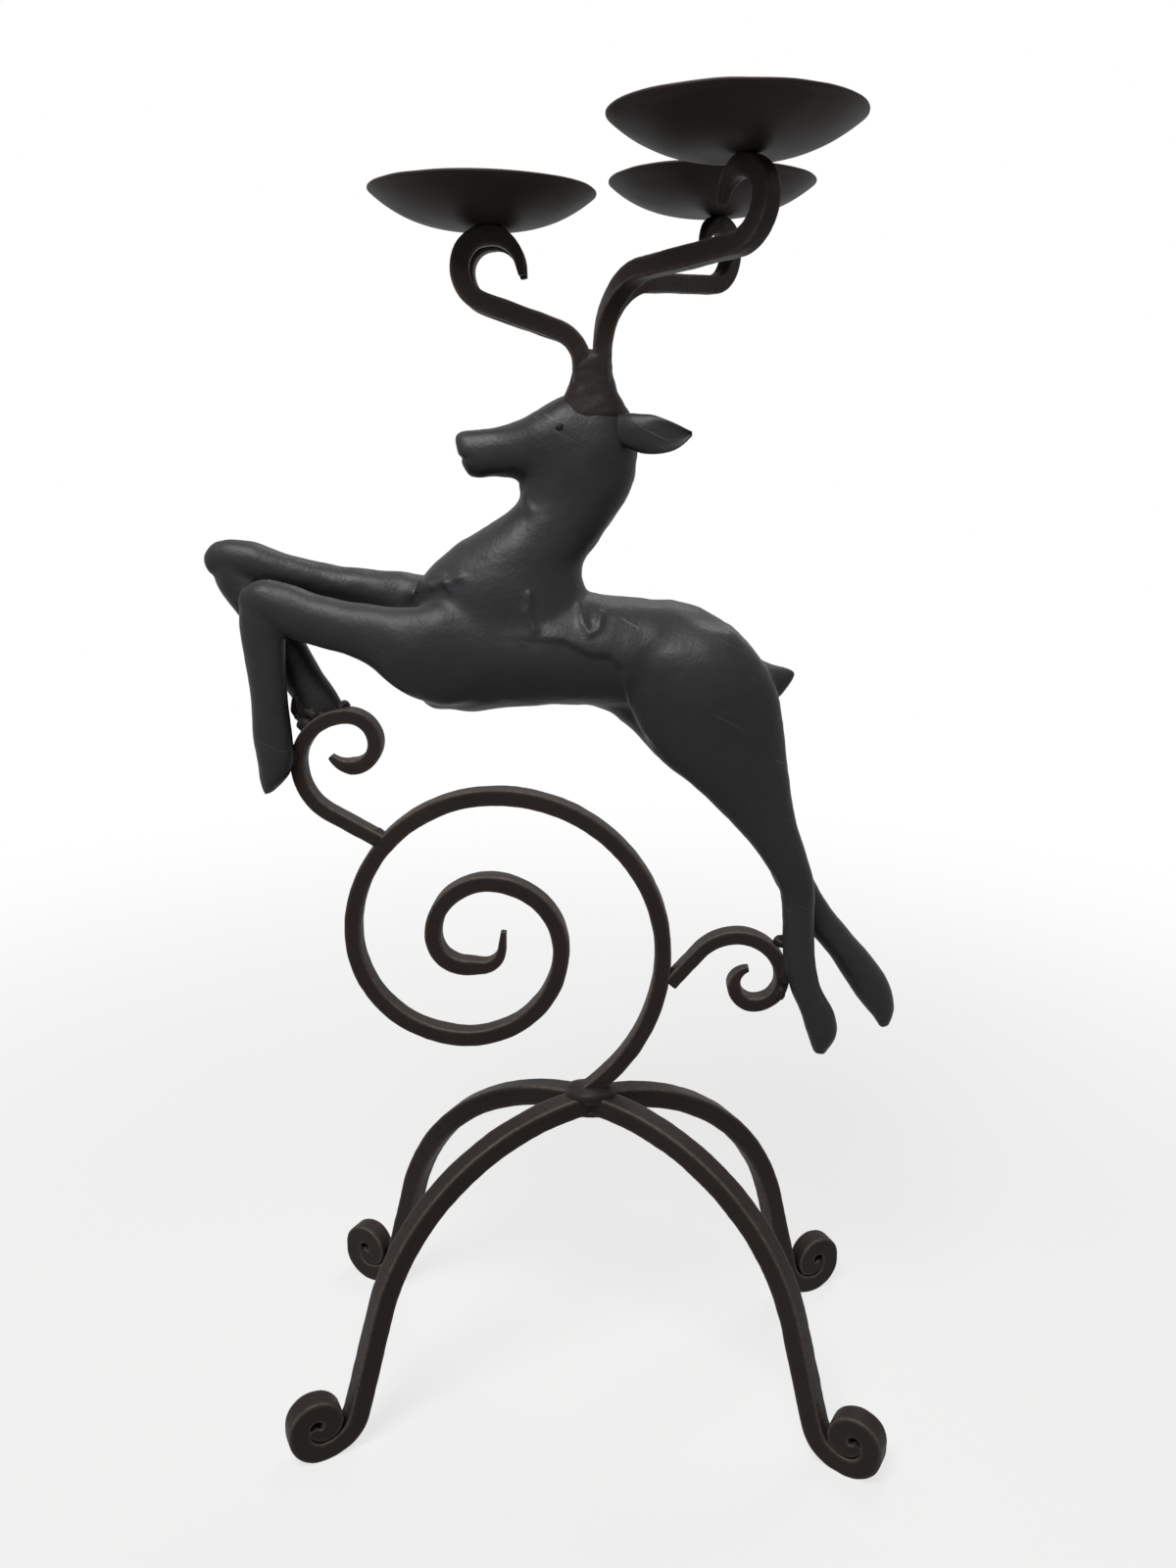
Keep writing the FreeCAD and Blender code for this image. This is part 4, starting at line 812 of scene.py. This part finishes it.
# A bar's moves, its tip's moves, the azimuth it leans to, and its quarter of the stem in x and y.
ANTLERS = {
    "front_tine_left": (TINE, TINE_TIP, 180.0 + TINE_SPREAD, (-1, -1)),
    "front_tine_right": (TINE, TINE_TIP, 180.0 - TINE_SPREAD, (-1, 1)),
    "rear_beam_left": (BEAM, BEAM_TIP, -BEAM_AZIMUTH, (1, -1)),
    "rear_beam_right": (BEAM, BEAM_TIP, BEAM_AZIMUTH, (1, 1)),
}
antler_tops = {}
for number, (name, (moves, tip, azimuth, quarter)) in enumerate(ANTLERS.items()):
    line, headings, counts = centre_line(moves + tip, heading=90.0)
    foot = STEM + np.append(quarter, 0) * (ANTLER_BAR + ANTLER_GAP) / 2
    stand = turned_at(foot, azimuth)
    # At its foot a bar is twisted to stand square to the deer, and it comes true over its first bend.
    twist = 45.0 - (azimuth + 45.0) % 90.0
    untwisted = np.clip((np.arange(counts[-1]) - counts[1] + 1) / (counts[2] - counts[1]), 0, 1)
    thickness = drawn_down(counts, len(moves), ANTLER_BAR, ANTLER_TIP)
    antler = forged_bar(name + "_bar", line, headings, thickness, thickness, stand,
                        ANTLER_CORNER, twist * (1 - untwisted), seed=180 + number * 7)
    add_piece(antler, bar_paint, "forged_bar", name)
    top = line[counts[len(moves)] - 1]
    antler_tops[name] = stand(np.array([top[0], 0.0, top[1]]))

# Antler collar: weld built up round the four bars where they stand on the crown. It flares down to
# the head, and runs up a little way between the two pairs of bars.
COLLAR_FOOT = (18.0, 12.8)
COLLAR_TOP = (9.6, 9.9)
COLLAR_HEIGHT = 19.0
COLLAR_SUNK = 9.0
WEB_HEIGHT = 9.5
COLLAR_LUMPS = [(0.016, 9.0, 210), (0.007, 4.0, 211)]


def flared_collar(rows=32, web_rows=12, around=72):
    """The collar: a blunt oval |u|^n + |v|^n = 1 carried up the stem.

    Its half sizes go from the foot's to the top's with the 1.6th power of the height that is left,
    while n goes from 2.2 to 3.8. Above the top it draws in on a quarter ellipse to a web across the
    deer, and below the crown it closes a little inside the head.
    """
    collar = np.linspace(-COLLAR_SUNK, COLLAR_HEIGHT, rows)
    web = COLLAR_HEIGHT + WEB_HEIGHT * np.linspace(0.1, 0.98, web_rows)
    height = np.concatenate([collar, web])[:, None]
    fall = np.clip(1 - height / COLLAR_HEIGHT, 0, 1) ** 1.6
    length, width = (top + (foot - top) * fall for top, foot in zip(COLLAR_TOP, COLLAR_FOOT))
    drawn_in = np.clip((height - COLLAR_HEIGHT) / WEB_HEIGHT, 0, 1)
    taper = np.sqrt(1 - drawn_in ** 2) - 0.5 * np.clip(-height / COLLAR_SUNK, 0, 1) ** 2
    blunt = 2 / (2.2 + 1.6 * np.clip(height / COLLAR_HEIGHT, 0, 1))
    turn = np.arange(around) / around * 2 * np.pi
    along = length * taper * np.abs(np.cos(turn)) ** blunt * np.sign(np.cos(turn))
    across = width * taper ** 0.3 * np.abs(np.sin(turn)) ** blunt * np.sign(np.sin(turn))
    flare = np.stack([along, across, np.broadcast_to(height, along.shape)], -1)
    uneven = 1 + sum(share * ripple(flare, wide, seed) for share, wide, seed in COLLAR_LUMPS)
    flare = STEM + flare * uneven[..., None]
    return tube(flare, flare[[0, -1]].mean(1))


collar_weld = new_piece("antler_collar_weld", [flared_collar()])
add_piece(collar_weld, weld_paint, "weld_metal", "antler_collar")

# Pans: discs of thin sheet, dished over a former to a shallow bowl with a small flat in the middle,
# the rim left as cut. Each is welded to the top of its antler curl.
PAN_RADIUS = 52.0
PAN_DEPTH = 14.3
PAN_SHEET = 1.5
PAN_FLAT = 12.0
PAN_SEAT = 0.3
FRONT_PAN_OFFSET = 4.0
REAR_PAN_OFFSET = 6.5
# How far the rim runs out of true and over what length, and the former's smaller dents.
RIM_WAVE = (0.5, 80.0)
FORMER_DENT = (0.12, 15.0)
# Brushed paint dries in patches. Its grain is finer than this, and is drawn coarser so that it shows.
PAN_PATCH = 26.0
PAN_GRAIN = 1.6


def dished_pan(centre, seed, rows=28, flat_rows=6, rim_rows=9, around=128):
    """A pan: a profile turned about the upright axis. Its underside is flat, then a circle's arc
    up to the rim; its upper side is the same arc one sheet nearer the circle's centre. It is uneven
    with the square of the radius."""
    dish = ((PAN_RADIUS - PAN_FLAT) ** 2 + PAN_DEPTH ** 2) / (2 * PAN_DEPTH)
    lean = math.atan2(PAN_RADIUS - PAN_FLAT, dish - PAN_DEPTH)
    out = np.linspace(0, lean, rows)
    flat = np.linspace(1.0, PAN_FLAT, flat_rows)[:-1]
    rim = np.linspace(-np.pi / 2, np.pi / 2, rim_rows)[1:-1]
    angle = np.concatenate([out, lean + PAN_SHEET / 2 / dish * np.cos(rim), out[::-1]])
    inset = np.concatenate([0 * out, PAN_SHEET / 2 * (1 + np.sin(rim)), 0 * out + PAN_SHEET])
    arc_radius = PAN_FLAT + (dish - inset) * np.sin(angle)
    arc_height = dish - (dish - inset) * np.cos(angle)
    radius = np.concatenate([flat, arc_radius, flat[::-1]])[:, None]
    height = np.concatenate([0 * flat, arc_height, 0 * flat + PAN_SHEET])[:, None]
    turn = np.arange(around) / around * 2 * np.pi
    rings = np.stack(np.broadcast_arrays(radius * np.cos(turn), radius * np.sin(turn), 0.0), -1)
    uneven = sum(lift * ripple(rings, wide, seed + index)
                 for index, (lift, wide) in enumerate((RIM_WAVE, FORMER_DENT)))
    rings[..., 2] = height + (radius / PAN_RADIUS) ** 2 * uneven
    middles = np.array([[0.0, 0.0, 0.0], [0.0, 0.0, PAN_SHEET]])
    return tube(rings + centre, middles + centre)


def painted_pan():
    """Dished sheet brushed with satin black paint: warm black, duller than the deer, with the faint
    mottle of a brushed coat."""
    material = new_material("satin_black_paint_on_dished_sheet")
    place = add_node(material, "ShaderNodeTexCoord").node.outputs["Object"]
    patch = add_node(material, "ShaderNodeTexNoise", Vector=place, Scale=1 / (PAN_PATCH * MM),
                     Detail=4.0)
    grain = add_node(material, "ShaderNodeTexNoise", Vector=place, Scale=1 / (PAN_GRAIN * MM),
                     Detail=3.0)
    colour = add_node(material, "ShaderNodeMix", {"data_type": "RGBA"}, Factor=patch,
                      A=linear("#1d1917"), B=linear("#2c2623"))
    sheen = add_node(material, "ShaderNodeMapRange", Value=patch, To_Min=0.45, To_Max=0.62)
    bump = add_node(material, "ShaderNodeBump", Strength=0.3, Distance=0.0003, Height=grain)
    surface = add_node(material, "ShaderNodeBsdfPrincipled", Base_Color=colour, Roughness=sheen,
                       Specular_IOR_Level=0.12, Normal=bump)
    add_node(material, "ShaderNodeOutputMaterial", Surface=surface)
    return material


pan_paint = painted_pan()
seat = np.array([0.0, 0.0, ANTLER_BAR / 2 - PAN_SEAT])
front_top = (antler_tops["front_tine_left"] + antler_tops["front_tine_right"]) / 2
pan_places = {"pan_front": front_top - [FRONT_PAN_OFFSET, 0.0, 0.0]}
for hand, side in (("left", -1), ("right", 1)):
    bearing = math.radians(side * BEAM_AZIMUTH)
    away = np.array([math.cos(bearing), math.sin(bearing), 0.0])
    pan_places["pan_rear_" + hand] = antler_tops["rear_beam_" + hand] - REAR_PAN_OFFSET * away
for number, (name, place) in enumerate(pan_places.items()):
    pan = new_piece(name + "_dish", [dished_pan(place + seat, seed=230 + number * 5)])
    add_piece(pan, pan_paint, "pan_sheet", name)

# Floor, light and camera: a plain pale floor that fades into a white background, a soft lamp high
# in front on the left and a weaker one behind, and the photograph's view from a little above the
# deer.

# Half the floor's side, the distances between which it fades to full white, both in metres, and its
# share of white near the object.
FLOOR_HALF = 4.0
SHADOW_NEAR = 0.3
SHADOW_FAR = 1.2
NEAR_WHITE = 0.74
# A lamp's place and width in metres, and its watts.
LAMPS = {
    "window_lamp": ((-0.36, -0.76, 1.7), 0.6, 42.0),
    "rear_lamp": ((0.3, 0.7, 1.7), 0.6, 14.0),
}
LAMP_AIM = (0.0, 0.0, 0.4)
FILL_LIGHT = 0.06
LENS_PIXELS = 1250.0
IMAGE_HEIGHT = 1600.0
SENSOR = 36.0
EYE_POINT = np.array([HUB_X + 10.0, -612.0, HUB_Z + 358.7])
PITCH, YAW, ROLL = (math.radians(angle) for angle in (15.91, -1.29, -0.66))


def seen_directly(owner):
    """1 for what the lens sees, itself or mirrored or through glass, and 0 for light on the piece."""
    path = add_node(owner, "ShaderNodeLightPath").node.outputs
    mirrored = add_node(owner, "ShaderNodeMath", {"operation": "MAXIMUM"},
                        in_0=path["Is Glossy Ray"], in_1=path["Is Transmission Ray"])
    return add_node(owner, "ShaderNodeMath", {"operation": "MAXIMUM"},
                    in_0=path["Is Camera Ray"], in_1=mirrored)


def studio_board():
    """A matt pale board: it keeps a soft shadow round the feet and fades to white farther out."""
    material = new_material("matt_pale_studio_board")
    place = add_node(material, "ShaderNodeTexCoord").node.outputs["Object"]
    length = add_node(material, "ShaderNodeVectorMath", {"operation": "LENGTH"}, in_0=place)
    fade = add_node(material, "ShaderNodeMapRange", {"interpolation_type": "SMOOTHSTEP"},
                    Value=length.node.outputs["Value"], From_Min=SHADOW_NEAR, From_Max=SHADOW_FAR,
                    To_Min=NEAR_WHITE, To_Max=1.0)
    share = add_node(material, "ShaderNodeMath", {"operation": "MULTIPLY"},
                     in_0=seen_directly(material), in_1=fade)
    board = add_node(material, "ShaderNodeBsdfDiffuse", Color=linear("#a3a2a0"))
    white = add_node(material, "ShaderNodeEmission", Color=linear("#ffffff"), Strength=1.0)
    both = add_node(material, "ShaderNodeMixShader", in_0=share, in_1=board, in_2=white)
    add_node(material, "ShaderNodeOutputMaterial", Surface=both)
    return material


board_corners = np.array([(-1, -1, 0), (1, -1, 0), (1, 1, 0), (-1, 1, 0)]) * FLOOR_HALF
board_mesh = bpy.data.meshes.new("floor")
board_mesh.from_pydata(board_corners.tolist(), [], [(0, 1, 2, 3)])
board_mesh.materials.append(studio_board())
floor = bpy.data.objects.new("floor", board_mesh)
bpy.context.scene.collection.objects.link(floor)

world = bpy.data.worlds.new("studio")
world.use_nodes = True
world.node_tree.nodes.clear()
strength = add_node(world, "ShaderNodeMapRange", Value=seen_directly(world), To_Min=FILL_LIGHT,
                    To_Max=1.0)
sky = add_node(world, "ShaderNodeBackground", Color=linear("#ffffff"), Strength=strength)
add_node(world, "ShaderNodeOutputWorld", Surface=sky)
bpy.context.scene.world = world

for name, (spot, width, power) in LAMPS.items():
    lamp = bpy.data.lights.new(name, "AREA")
    lamp.size = width
    lamp.energy = power
    holder = bpy.data.objects.new(name, lamp)
    facing = (mathutils.Vector(LAMP_AIM) - mathutils.Vector(spot)).to_track_quat("-Z", "Y")
    holder.matrix_world = mathutils.Matrix.Translation(spot) @ facing.to_matrix().to_4x4()
    bpy.context.scene.collection.objects.link(holder)

ahead = np.array([math.sin(YAW) * math.cos(PITCH), math.cos(YAW) * math.cos(PITCH), -math.sin(PITCH)])
sideways = np.array([math.cos(YAW), -math.sin(YAW), 0.0])
down = np.cross(ahead, sideways)
lens = bpy.data.cameras.new("camera")
lens.sensor_fit = "VERTICAL"
lens.sensor_height = SENSOR
lens.lens = LENS_PIXELS / IMAGE_HEIGHT * SENSOR
camera = bpy.data.objects.new("camera", lens)
pose = np.eye(4)
pose[:3, 0] = math.cos(ROLL) * sideways + math.sin(ROLL) * down
pose[:3, 1] = math.sin(ROLL) * sideways - math.cos(ROLL) * down
pose[:3, 2] = -ahead
pose[:3, 3] = EYE_POINT * MM
camera.matrix_world = mathutils.Matrix(pose.tolist())
bpy.context.scene.collection.objects.link(camera)
bpy.context.scene.camera = camera
bpy.context.scene.view_settings.view_transform = "Standard"
